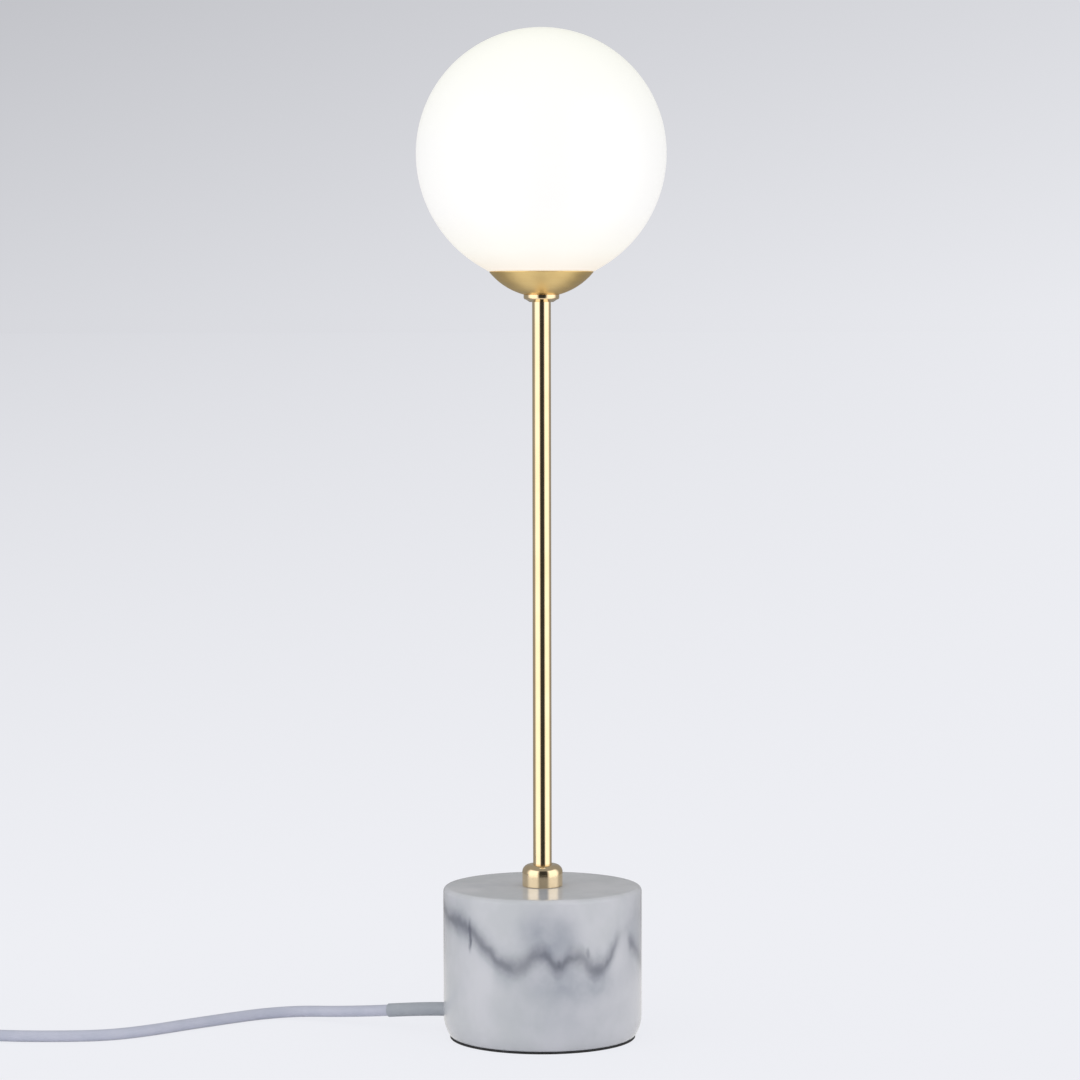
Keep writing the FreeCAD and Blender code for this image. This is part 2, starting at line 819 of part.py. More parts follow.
def lampholder():
    """The ceramic body with two pin slots, two core holes and two screw holes."""
    r, chamfer = holder_radius, holder_chamfer
    body = spun([
        (0, holder_bottom), (r - chamfer, holder_bottom), (r, holder_bottom + chamfer),
        (r, holder_top - chamfer), (r - chamfer, holder_top), (0, holder_top),
    ])
    slot_x = bulb_pin_wire + pin_slot_play
    slot_y = bulb_pin_loop + bulb_pin_wire + pin_slot_play
    screw_seat = holder_top - holder_screw_head_height - chamfer
    for side in (-1, 1):
        x, y = side * bulb_pin_spacing / 2, side * holder_screw_offset
        body = body.cut(block((x - slot_x, -slot_y, holder_top - pin_slot_depth), (x + slot_x, slot_y, holder_top + 1)))
        body = body.cut(contact_shape(side, contact_play))
        body = body.cut(cylinder(core_radius + thread_play, holder_bottom - 1, holder_bottom + core_entry,
                                 side * core_spacing / 2, 0))
        body = body.cut(cylinder(holder_screw_radius + screw_play, holder_bottom - 1, holder_top + 1, 0, y))
        body = body.cut(cylinder(holder_screw_head_radius + screw_play, screw_seat, holder_top + 1, 0, y))
    return turned_to_cores(body)


def lampholder_screws():
    seat = holder_top - holder_screw_head_height - holder_chamfer
    tip = holder_bottom - bracket_thickness - holder_screw_tail
    return turned_to_cores(group([
        screw(0, side * holder_screw_offset, tip, seat, holder_screw_radius,
              holder_screw_head_radius, holder_screw_head_height)
        for side in (-1, 1)
    ]))


# ---- Bulb ----

def bulb_pin(side):
    """A wire loop that hangs from the bulb's base and plugs into the lampholder."""
    x = side * bulb_pin_spacing / 2
    top = bulb_bottom + bulb_pin_embed
    low = bulb_bottom - bulb_pin_length
    reach = bulb_pin_loop
    bend = low + bulb_pin_wire + reach
    edges = [
        Part.makeLine(Vector(x, -reach, top), Vector(x, -reach, bend)),
        Part.Arc(Vector(x, -reach, bend), Vector(x, 0, bend - reach), Vector(x, reach, bend)).toShape(),
        Part.makeLine(Vector(x, reach, bend), Vector(x, reach, top)),
    ]
    return turned_to_cores(pipe(Part.Wire(edges), bulb_pin_wire))


def bulb_base():
    r, soft = bulb_base_radius, bulb_base_edge
    top = bulb_bottom + bulb_base_height
    body = spun([(0, bulb_bottom), (r - soft, bulb_bottom), (r, bulb_bottom + soft), (r, top), (0, top)])
    body = turned_to_cores(body)
    for side in (-1, 1):
        for along in (-1, 1):
            hole = cylinder(bulb_pin_wire, bulb_bottom - 1, bulb_bottom + bulb_pin_embed,
                            side * bulb_pin_spacing / 2, along * bulb_pin_loop)
            body = body.cut(turned_to_cores(hole))
    return body


def bulb_envelope():
    """The clear capsule over the light source, closed by a round end."""
    low = bulb_bottom + bulb_base_height
    dome = low + bulb_glass_length - bulb_glass_radius
    r, inner = bulb_glass_radius, bulb_glass_radius - bulb_glass_wall
    slant = math.sqrt(0.5)
    return spun(
        [(inner, low), (r, low), (r, dome), (0, dome + r), (0, dome + inner), (inner, dome)],
        {2: (r * slant, dome + r * slant), 4: (inner * slant, dome + inner * slant)},
    )


def bulb_core():
    """The light source: a post with six flat faces that carry the light strips."""
    low = bulb_bottom + bulb_base_height
    post = hexagon(bulb_core_radius * 2, low, low + bulb_core_length)
    cap = spun([(0, low + bulb_core_length), (bulb_core_cap_radius, low + bulb_core_length),
                (0, low + bulb_core_length + bulb_core_cap_height)])
    return fused([post, cap])


# ---- Cores ----

def core(side):
    """One insulated wire, from the cord's stripped end up through the stem to its contact."""
    aside = side_way * (side * core_spacing / 2)
    start = cord_start + aside
    corner = Vector(0, 0, exit_height) + aside
    top = Vector(0, 0, holder_bottom + core_entry) + aside
    return pipe(rounded_path([start, corner, top], [core_bend_radius]), core_radius)


# ---- Sleeve ----

def cord_sleeve():
    """The strain relief: a slightly tapered tube that follows the cord out of the base."""
    second = Vector(*cord_lead_route[2])
    radius = bend_radii([cord_start, cord_bend, second])[0]
    slope = (second - cord_bend).normalize()
    tip = cord_bend + slope * (sleeve_outer_reach - on_exit_line(0).distanceToPoint(cord_bend))
    path = rounded_path([on_exit_line(sleeve_inner_reach), cord_bend, tip], [radius])
    first, last = path.Edges[0], path.Edges[-1]
    profiles = [
        Part.Wire([Part.makeCircle(sleeve_radius, first.valueAt(first.FirstParameter), exit_way)]),
        Part.Wire([Part.makeCircle(sleeve_tip_radius, last.valueAt(last.LastParameter), slope)]),
    ]
    outer = path.makePipeShell(profiles, True, False)
    return outer.cut(pipe(path, cord_radius + cord_play))


# ---- In-line switch, built along Y and then laid along X ----

def switch_hollow(bottom, top):
    return rounded_box(switch_width - 2 * switch_wall, switch_length - 2 * switch_wall, bottom, top,
                       switch_corner - switch_wall, switch_middle)


def switch_cord_hole():
    return Part.makeCylinder(cord_radius + cord_play, switch_length + 2,
                             Vector(switch_middle[0], switch_front - 1, switch_cord_height), Vector(0, 1, 0))


def case_post_places():
    x, y = switch_middle
    return [(x + case_post_x, y + case_post_y), (x - case_post_x, y - case_post_y)]


def switch_lower():
    outer = rounded_box(switch_width, switch_length, 0, switch_cord_height, switch_corner, switch_middle)
    low_rim = [e for e in outer.Edges if e.BoundBox.ZMax < 1e-3]
    shell = outer.makeFillet(switch_edge, low_rim)
    shell = shell.cut(switch_hollow(switch_wall, switch_cord_height + 1)).cut(switch_cord_hole())
    for x, y in case_post_places():
        shell = shell.fuse(cylinder(case_post_radius, switch_wall / 2, switch_cord_height, x, y))
        shell = shell.cut(cylinder(case_screw_radius + screw_play, -1, switch_cord_height + 1, x, y))
        shell = shell.cut(cylinder(case_screw_head_radius + screw_play, -1, case_screw_seat, x, y))
    return shell.removeSplitter()


def rocker_ear_low():
    return rocker_pivot_height - rocker_pin_radius - rocker_ear_drop


def switch_upper():
    x, y = switch_middle
    outer = rounded_box(switch_width, switch_length, switch_cord_height, switch_height, switch_corner, switch_middle)
    high_rim = [e for e in outer.Edges if e.BoundBox.ZMin > switch_height - 1e-3]
    shell = outer.makeFillet(switch_edge, high_rim)
    roof = switch_height - switch_wall
    shell = shell.cut(switch_hollow(switch_cord_height - 1, roof)).cut(switch_cord_hole())
    half_window = rocker_width / 2 + rocker_gap
    window = block((x - half_window, y - rocker_length / 2 - 2 * rocker_gap, roof - 1),
                   (x + half_window, y + rocker_length / 2 + 2 * rocker_gap, switch_height + 1))
    shell = shell.cut(window)
    reach = half_window + rocker_ear_thickness
    for side in (-1, 1):
        x_low, x_high = sorted((x + side * half_window, x + side * reach))
        shell = shell.fuse(block((x_low, y - rocker_ear_half_length, rocker_ear_low()),
                                 (x_high, y + rocker_ear_half_length, roof + switch_wall / 2)))
    shell = shell.cut(Part.makeCylinder(rocker_pin_radius, 2 * reach, Vector(x - reach, y, rocker_pivot_height),
                                        Vector(1, 0, 0)))
    for post_x, post_y in case_post_places():
        shell = shell.fuse(cylinder(case_post_radius, switch_cord_height, roof + switch_wall / 2, post_x, post_y))
        shell = shell.cut(cylinder(case_screw_radius, switch_cord_height - 1, roof - 1, post_x, post_y))
    return shell.removeSplitter()


def tilted(shape):
    x, y = switch_middle
    shape.rotate(Vector(x, y, rocker_pivot_height), Vector(1, 0, 0), rocker_tilt)
    return shape


def switch_rocker():
    """The rocker with its dished top and the nose that works the contact."""
    x, y = switch_middle
    half = rocker_length / 2
    right_side = [(half, rocker_side_height), (rocker_keel_reach, -rocker_keel_depth),
                  (rocker_nose_half, -rocker_nose_depth)]
    left_side = [(-a, b) for a, b in reversed(right_side)]
    top = [(-half, rocker_end_height), (0, rocker_dish_height), (half, rocker_end_height)]
    outline = top + right_side + left_side
    corners = [Vector(x - rocker_width / 2, y + a, rocker_pivot_height + b) for a, b in outline]
    edges = [Part.Arc(corners[0], corners[1], corners[2]).toShape()]
    edges += [Part.makeLine(a, b) for a, b in zip(corners[2:], corners[3:] + corners[:1])]
    body = Part.Face(Part.Wire(edges)).extrude(Vector(rocker_width, 0, 0))
    bore = Part.makeCylinder(rocker_pin_radius + rocker_pin_play, rocker_width + 2,
                             Vector(x - rocker_width / 2 - 1, y, rocker_pivot_height), Vector(1, 0, 0))
    return tilted(body.cut(bore))


def switch_bridge():
    """The contact strip under the rocker's nose, which tips with it."""
    x, y = switch_middle
    top = rocker_pivot_height - rocker_nose_depth
    strip = block((x - bridge_width / 2, y - bridge_length / 2, top - bridge_thickness),
                  (x + bridge_width / 2, y + bridge_length / 2, top))
    return tilted(strip)


def rocker_pin():
    x, y = switch_middle
    reach = rocker_width / 2 + rocker_gap + rocker_ear_thickness
    return Part.makeCylinder(rocker_pin_radius, 2 * reach, Vector(x - reach, y, rocker_pivot_height), Vector(1, 0, 0))


def bridge_low(offset):
    """The underside of the tipped contact strip at this distance along the switch."""
    angle = math.radians(rocker_tilt)
    depth = rocker_nose_depth + bridge_thickness
    return rocker_pivot_height - depth / math.cos(angle) + offset * math.tan(angle)


def switch_terminal(side):
    """A brass bar from its clamping block to the pad under the contact strip."""
    x, y = switch_middle
    floor, half = switch_wall, terminal_size / 2
    wire_x = x - core_spacing / 2
    block_middle = y + side * terminal_reach
    top = floor + terminal_height
    body = block((x - half, block_middle - half, floor), (x + half, block_middle + half, top))
    pad = y if side > 0 else y - bridge_length / 2 + bridge_pad_inset
    pad_top = bridge_low(pad - y) - bridge_pad_gap
    low, high = sorted((pad - side * bridge_pad_half, block_middle))
    bar = block((x - half / 2, low, floor), (x + half / 2, high, floor + terminal_bar))
    post = block((x - half / 2, pad - bridge_pad_half, floor), (x + half / 2, pad + bridge_pad_half, pad_top))
    hole = cylinder(terminal_screw_radius, core_height, top + 1, wire_x, block_middle)
    entry = Part.makeCylinder(core_radius + thread_play, terminal_size,
                              Vector(wire_x, block_middle, core_height), Vector(0, side, 0))
    return fused([body, bar, post]).cut(hole).cut(entry)


def switch_terminal_screws():
    x, y = switch_middle
    seat = switch_wall + terminal_height
    tip = core_height + core_radius
    return group([
        screw(x - core_spacing / 2, y + side * terminal_reach, tip, seat,
              terminal_screw_radius - thread_play, terminal_screw_head_radius, terminal_screw_head_height)
        for side in (-1, 1)
    ])


def switch_case_screws():
    tip = switch_height - switch_wall - case_screw_end_gap
    return group([
        screw(x, y, tip, case_screw_seat, case_screw_radius - thread_play, case_screw_head_radius,
              case_screw_head_height, head_up=False)
        for x, y in case_post_places()
    ])


def switch_through_core():
    """The wire that passes the switch unbroken."""
    x, y = switch_middle
    reach = switch_length / 2 - sheath_grip
    near, far = x + core_spacing / 2, x + through_core_x
    lead, swing = reach - through_core_lead, reach - through_core_swing
    places = [(near, -reach), (near, -lead), (far, -swing), (far, swing), (near, lead), (near, reach)]
    points = [Vector(across, y + along, core_height) for across, along in places]
    return pipe(rounded_path(points, [through_core_bend_radius] * (len(points) - 2)), core_radius)


def switch_live_cores():
    """The switched wire's two stripped ends, one in each terminal."""
    x, y = switch_middle
    outer = switch_length / 2 - sheath_grip
    inner = terminal_reach
    return group([
        Part.makeCylinder(core_radius, outer - inner, Vector(x - core_spacing / 2, y + side * inner, core_height),
                          Vector(0, side, 0))
        for side in (-1, 1)
    ])


# ---- Plug, built along Y and then laid along X ----

def plug_place():
    return Vector(*cord_tail_route[-1])


def plug_body():
    """A flat two-pin plug body that narrows to its cord, with a tapered boot."""
    place = plug_place()
    rear = place.y - plug_boot_length
    front = rear - plug_length
    shoulder = front + plug_face_length
    half, neck = plug_width / 2, plug_neck_width / 2
    outline = [(half, front), (half, shoulder), (neck, rear), (-neck, rear), (-half, shoulder), (-half, front)]
    low = place.z - plug_thickness / 2
    corners = [Vector(place.x + x, y, low) for x, y in outline]
    body = Part.Face(Part.makePolygon(corners + corners[:1])).extrude(Vector(0, 0, plug_thickness))
    rounded = [e for e in body.Edges if e.BoundBox.YMax > front + 1]
    body = body.makeFillet(plug_edge, rounded)
    boot = Part.makeCone(plug_boot_tip_radius, plug_boot_radius, plug_boot_length + plug_edge, place, Vector(0, -1, 0))
    body = fused([body, boot])
    for x in (-plug_pin_spacing / 2, plug_pin_spacing / 2):
        hole = Part.makeCylinder(plug_pin_root_radius, plug_pin_depth, Vector(place.x + x, front, place.z),
                                 Vector(0, 1, 0))
        body = body.cut(hole)
    return body


def plug_front():
    place = plug_place()
    return Vector(place.x, place.y - plug_boot_length - plug_length, place.z)


def plug_pins():
    """Round brass pins, waisted where their sleeves sit."""
    pins = []
    for side in (-1, 1):
        face = plug_front() + Vector(side * plug_pin_spacing / 2, 0, 0)
        root = Part.makeCylinder(plug_pin_root_radius, plug_pin_depth, face, Vector(0, 1, 0))
        waist = Part.makeCylinder(plug_pin_waist_radius, plug_pin_sleeve_length, face, Vector(0, -1, 0))
        bare = Part.makeCylinder(plug_pin_radius, plug_pin_length - plug_pin_sleeve_length,
                                 face - Vector(0, plug_pin_sleeve_length, 0), Vector(0, -1, 0))
        tip = [e for e in bare.Edges if e.BoundBox.YMax < face.y - plug_pin_length + 1e-3]
        pins.append(fused([root, waist, bare.makeFillet(plug_pin_tip_radius, tip)]))
    return group(pins)


def plug_pin_sleeves():
    sleeves = []
    for side in (-1, 1):
        face = plug_front() + Vector(side * plug_pin_spacing / 2, 0, 0)
        outer = Part.makeCylinder(plug_pin_sleeve_radius, plug_pin_sleeve_length, face, Vector(0, -1, 0))
        bore = Part.makeCylinder(plug_pin_waist_radius, plug_pin_sleeve_length, face, Vector(0, -1, 0))
        sleeves.append(outer.cut(bore))
    return group(sleeves)


def switch_pieces():
    made = {
        "switch_lower": switch_lower(),
        "switch_upper": switch_upper(),
        "switch_rocker": switch_rocker(),
        "switch_bridge": switch_bridge(),
        "rocker_pin": rocker_pin(),
        "switch_terminal_front": switch_terminal(-1),
        "switch_terminal_back": switch_terminal(1),
        "switch_terminal_screws": switch_terminal_screws(),
        "switch_case_screws": switch_case_screws(),
        "switch_through_core": switch_through_core(),
        "switch_live_cores": switch_live_cores(),
    }
    return {name: laid_along_x(shape, switch_middle) for name, shape in made.items()}


def plug_pieces():
    made = {"plug_body": plug_body(), "plug_pins": plug_pins(), "plug_pin_sleeves": plug_pin_sleeves()}
    return {name: laid_along_x(shape, plug_place()) for name, shape in made.items()}


def pieces():
    """Every piece of the lamp, by name."""
    washer_bore = rod_radius + thread_play
    nipple_hole = nipple_radius + thread_play
    return {
        "base_pad": base_pad(),
        "marble_base": marble_base(),
        "threaded_rod": ring(rod_radius, rod_bore, rod_bottom, rod_top),
        "clamp_plate": clamp_plate(),
        "base_lock_washer": toothed_washer(washer_bore, lock_washer_width, base_nut_top, plate_bottom),
        "base_nut": hex_nut(base_nut_width, washer_bore, base_nut_bottom, base_nut_top),
        "cord_clamp": cord_clamp(),
        "cord_clamp_screws": cord_clamp_screws(),
        "base_collar": base_collar(),
        "stem_tube": ring(stem_radius, stem_bore, stem_bottom, stem_top),
        "stem_nipple": stem_nipple(),
        "neck_disc": neck_disc(),
        "globe_cup": globe_cup(),
        "cup_lock_washer": toothed_washer(nipple_hole, cup_lock_washer_width, cup_floor, cup_nut_bottom),
        "cup_nut": hex_nut(cup_nut_width, nipple_hole, cup_nut_bottom, carrier_bottom),
        "globe_carrier": globe_carrier(),
        "holder_bracket": holder_bracket(),
        "holder_nut": hex_nut(cup_nut_width, nipple_hole, holder_nut_bottom, holder_nut_bottom + holder_nut_height),
        "lampholder": lampholder(),
        "lampholder_screws": lampholder_screws(),
        "contact_left": turned_to_cores(contact_shape(-1)),
        "contact_right": turned_to_cores(contact_shape(1)),
        "globe_seal": globe_seal(),
        "globe": globe(),
        "bulb_pin_left": bulb_pin(-1),
        "bulb_pin_right": bulb_pin(1),
        "bulb_base": bulb_base(),
        "bulb_envelope": bulb_envelope(),
        "bulb_core": bulb_core(),
        "core_brown": core(-1),
        "core_blue": core(1),
        "cord_sleeve": cord_sleeve(),
        "cord_lead": cord_stretch("cord_lead", cord_lead_route),
        "cord_link": cord_stretch("cord_link", cord_link_route),
        "cord_coil": cord_coil(),
        "cord_tail": cord_stretch("cord_tail", cord_tail_route),
        "cord_tie": cord_tie(),
        **switch_pieces(),
        **plug_pieces(),
    }


def main():
    os.makedirs("parts", exist_ok=True)
    for name, shape in pieces().items():
        box = shape.optimalBoundingBox(False)
        state = "" if shape.isValid() else "  NOT VALID"
        print(f"{name}: {len(shape.Solids)} solid, {shape.Volume:.1f} mm3, "
              f"z {box.ZMin:.2f} to {box.ZMax:.2f}{state}")
        shape.exportStep(f"parts/{name}.step")


main()
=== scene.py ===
import bpy
import bmesh
import json
import math
from math import radians
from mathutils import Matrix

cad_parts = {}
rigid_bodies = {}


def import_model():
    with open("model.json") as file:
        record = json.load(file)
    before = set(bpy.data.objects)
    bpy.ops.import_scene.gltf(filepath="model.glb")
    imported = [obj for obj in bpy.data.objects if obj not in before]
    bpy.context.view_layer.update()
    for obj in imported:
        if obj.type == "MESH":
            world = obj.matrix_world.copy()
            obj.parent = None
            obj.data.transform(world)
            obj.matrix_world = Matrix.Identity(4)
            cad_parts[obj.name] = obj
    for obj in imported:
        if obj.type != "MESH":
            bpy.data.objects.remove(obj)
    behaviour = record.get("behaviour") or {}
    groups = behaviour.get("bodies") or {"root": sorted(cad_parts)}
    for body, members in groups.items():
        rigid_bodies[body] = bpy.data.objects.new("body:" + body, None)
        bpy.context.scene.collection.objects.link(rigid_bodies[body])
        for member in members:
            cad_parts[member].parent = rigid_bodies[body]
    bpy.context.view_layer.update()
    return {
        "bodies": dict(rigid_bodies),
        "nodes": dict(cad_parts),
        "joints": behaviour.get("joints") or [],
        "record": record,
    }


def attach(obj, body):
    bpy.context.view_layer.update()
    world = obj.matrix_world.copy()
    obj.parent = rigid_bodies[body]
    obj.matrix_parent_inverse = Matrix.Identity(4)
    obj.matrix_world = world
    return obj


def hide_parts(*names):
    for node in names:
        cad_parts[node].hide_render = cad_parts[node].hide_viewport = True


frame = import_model()
nodes = frame["nodes"]
mm = 0.001
print("frame loaded,", len(nodes), "nodes")


# Camera: eye height and tilt found from the base's ellipses and the globe's outline
camera = {"place": (-0.0006, -1.496, 0.2913), "tilt": 86.55, "roll": 0.1, "lens": 124.5}

bpy.ops.object.camera_add(location=camera["place"],
                          rotation=(radians(camera["tilt"]), radians(camera["roll"]), 0))
bpy.context.object.data.lens = camera["lens"]
bpy.context.scene.camera = bpy.context.object
print("camera set")


# Cords. Points in metres, from the clamp in the base to the switch, and from the switch to the plug
lampCordValues = {
    "diameter": 0.0046,
    "exit": (-0.0376, 0.0137, 0.0086),
    "length": 0.276,
    "route": [
        (-0.011, 0.004, 0.0086), (-0.028, 0.0102, 0.0086), (-0.044, 0.016, 0.0086),
        (-0.078, 0.0283, 0.0048), (-0.108, 0.0442, 0.0023), (-0.138, 0.021, 0.0023),
        (-0.165, -0.0035, 0.0023), (-0.184, -0.0106, 0.0023), (-0.224, -0.0092, 0.0023),
        (-0.246, -0.012, 0.006), (-0.264, -0.012, 0.006),
    ],
}
plugCordValues = {
    "diameter": 0.0046,
    "exit": (-0.3215, -0.012, 0.006),
    "length": 1.52,
    "toCoil": [(-0.316, -0.012, 0.006), (-0.330, -0.012, 0.006), (-0.344, -0.014, 0.0033)],
    "coilMiddle": (-0.3626, 0.017),
    "coilInside": 0.0208,
    "turnSpacing": 0.0051,
    "lowestTurn": 0.0033,
    "turnsInLayer": 2,
    "layers": 4,
    "pointsInTurn": 16,
    "toPlug": [(-0.343, 0.05102, 0.0186), (-0.328, 0.0522, 0.0124), (-0.312, 0.053, 0.00685),
               (-0.297, 0.053, 0.00685)],
}


def coilPoints(v):
    # piled spirals, in and out by turns, each layer climbed in the half turn where the spiral reverses
    perTurn = v["pointsInTurn"]
    perLayer = perTurn * v["turnsInLayer"]
    outwards = 2 / (1 + math.cos(math.pi / perTurn) ** 2)  # the spline runs inside its points
    points = []
    for i in range(perLayer * v["layers"] + perTurn // 2 + 1):
        layer = min(i // perLayer, v["layers"] - 1)
        along = (i - layer * perLayer) / perTurn
        turnsFromInside = v["turnsInLayer"] - along if layer % 2 == 0 else along
        radius = v["coilInside"] + v["turnSpacing"] * turnsFromInside
        nearest = round(i / perLayer)
        climb = 2 * (i - nearest * perLayer) / perTurn * 2
        risen = layer
        if 0 < nearest < v["layers"] and abs(climb) < 1:
            risen = nearest - 0.5 + 0.5 * math.sin(climb * math.pi / 2)
        angle = -math.pi / 2 - 2 * math.pi * i / perTurn
        points.append((v["coilMiddle"][0] + outwards * radius * math.cos(angle),
                       v["coilMiddle"][1] + outwards * radius * math.sin(angle),
                       v["lowestTurn"] + v["turnSpacing"] * risen))
    return points


def curveThrough(name, kind, points, radii):
    curve = bpy.data.curves.new(name, "CURVE")
    curve.dimensions = "3D"
    spline = curve.splines.new(kind)
    spline.points.add(len(points) - 1)
    for point, place, radius in zip(spline.points, points, radii):
        point.co = (*place, 1)
        point.radius = radius
    made = bpy.data.objects.new(name, curve)
    bpy.context.scene.collection.objects.link(made)
    return made, curve, spline


def cordPiece(name, points, diameter):
    # radii in metres with a bevel of 1, so that the curve's own box is the cord's
    cord, curve, spline = curveThrough(name, "NURBS", points, [diameter / 2] * len(points))
    spline.order_u = 3
    spline.use_endpoint_u = True
    spline.resolution_u = 10
    bpy.context.view_layer.update()
    line = [v.co.copy() for v in bpy.data.meshes.new_from_object(cord).vertices]
    curve.bevel_depth = 1.0
    curve.bevel_resolution = 7
    curve.use_fill_caps = True
    return cord, line


lampCord, lampCordLine = cordPiece("lamp_cord", lampCordValues["route"], lampCordValues["diameter"])
plugCordRoute = plugCordValues["toCoil"] + coilPoints(plugCordValues) + plugCordValues["toPlug"]
plugCord, plugCordLine = cordPiece("plug_cord", plugCordRoute, plugCordValues["diameter"])
for cord, replaced in ((lampCord, ["cord_lead"]), (plugCord, ["cord_link", "cord_coil", "cord_tail"])):
    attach(cord, "lamp")
    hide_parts(*replaced)
print("cords laid")


# Material helpers
def newMaterial(name, **sockets):
    material = bpy.data.materials.new(name)
    material.use_nodes = True
    tree = material.node_tree
    surface = tree.nodes["Principled BSDF"]
    for socket, value in sockets.items():
        surface.inputs[socket.replace("_", " ")].default_value = value
    return material, tree, surface


def addNode(tree, kind, inputs=None, **settings):
    node = tree.nodes.new("ShaderNode" + kind)
    for setting, value in settings.items():
        setattr(node, setting, value)
    for socket, value in (inputs or {}).items():
        if isinstance(value, bpy.types.NodeSocket):
            tree.links.new(value, node.inputs[socket])
        else:
            node.inputs[socket].default_value = value
    return node


def objectPlace(tree, scale=(1, 1, 1), place=(0, 0, 0), turn=(0, 0, 0)):
    coords = addNode(tree, "TexCoord")
    mapping = addNode(tree, "Mapping", {"Vector": coords.outputs["Object"], "Scale": scale,
                                        "Location": place, "Rotation": turn})
    return mapping.outputs["Vector"]


def noise(place, scale, detail=4.0, roughness=0.55):
    return addNode(place.id_data, "TexNoise", {"Vector": place, "Scale": scale, "Detail": detail,
                                               "Roughness": roughness}).outputs["Fac"]


def axes(vector):
    split = addNode(vector.id_data, "SeparateXYZ", {"Vector": vector})
    return [split.outputs[axis] for axis in "XYZ"]


def ramp(value, stops):
    node = addNode(value.id_data, "ValToRGB", {"Fac": value})
    elements = node.color_ramp.elements
    while len(elements) < len(stops):
        elements.new(0.5)
    for element, (position, colour) in zip(elements, stops):
        element.position = position
        element.color = (*colour, 1)
    return node.outputs["Color"]


def between(value, low, high, newLow=0.0, newHigh=1.0, smooth=True):
    return addNode(value.id_data, "MapRange", {"Value": value, "From Min": low, "From Max": high,
                                               "To Min": newLow, "To Max": newHigh},
                   interpolation_type="SMOOTHSTEP" if smooth else "LINEAR").outputs["Result"]


def arithmetic(operation, a, b=0.0):
    tree = (a if isinstance(a, bpy.types.NodeSocket) else b).id_data
    return addNode(tree, "Math", {0: a, 1: b}, operation=operation).outputs["Value"]


def times(a, b):
    return arithmetic("MULTIPLY", a, b)


def plus(a, b):
    return arithmetic("ADD", a, b)


def minus(a, b):
    return arithmetic("SUBTRACT", a, b)


def apart(a, b):
    return arithmetic("ABSOLUTE", minus(a, b))


def overDegrees(angle, first, last, start, end):
    return between(angle, radians(first), radians(last), start, end)


def mixColours(amount, first, second):
    tree = amount.id_data
    node = addNode(tree, "Mix", data_type="RGBA")
    for socket, value in zip((node.inputs[0], node.inputs[6], node.inputs[7]), (amount, first, second)):
        if isinstance(value, bpy.types.NodeSocket):
            tree.links.new(value, socket)
        else:
            socket.default_value = (*value, 1) if isinstance(value, tuple) else value
    return node.outputs[2]


def feed(surface, socket, value):
    surface.id_data.links.new(value, surface.inputs[socket])


def addBump(surface, height, strength, depth):
    bump = addNode(surface.id_data, "Bump", {"Height": height, "Strength": strength, "Distance": depth})
    feed(surface, "Normal", bump.outputs["Normal"])


def setMaterial(piece, material):
    piece.data.materials.clear()
    piece.data.materials.append(material)


# Materials
def brassMaterial(name, colour, darker, roughness, grainScale, grainDepth, grainStrength):
    # grainScale is long across the grain: along Z for turned pieces, round the axis for drawn ones
    material, tree, surface = newMaterial(name, Metallic=1.0)
    grain = noise(objectPlace(tree, grainScale), 1.0, 3.0)
    tone = noise(objectPlace(tree), 90.0, 3.0)
    feed(surface, "Base Color", mixColours(between(tone, 0.3, 0.7), darker, colour))
    feed(surface, "Roughness", between(grain, 0.3, 0.7, roughness * 0.8, roughness * 1.25))
    addBump(surface, grain, grainStrength, grainDepth)
    return material


def plainMaterial(name, colour, darker, roughness, speckleScale, bumpDepth, metallic=0.0):
    material, tree, surface = newMaterial(name, Metallic=metallic)
    place = objectPlace(tree)
    cloud = noise(place, speckleScale * 0.08, 2.0)
    speckle = noise(place, speckleScale, 3.0)
    feed(surface, "Base Color", mixColours(between(cloud, 0.35, 0.65), darker, colour))
    feed(surface, "Roughness", between(speckle, 0.3, 0.7, roughness * 0.85, roughness * 1.15))
    addBump(surface, speckle, 0.35, bumpDepth)
    return material


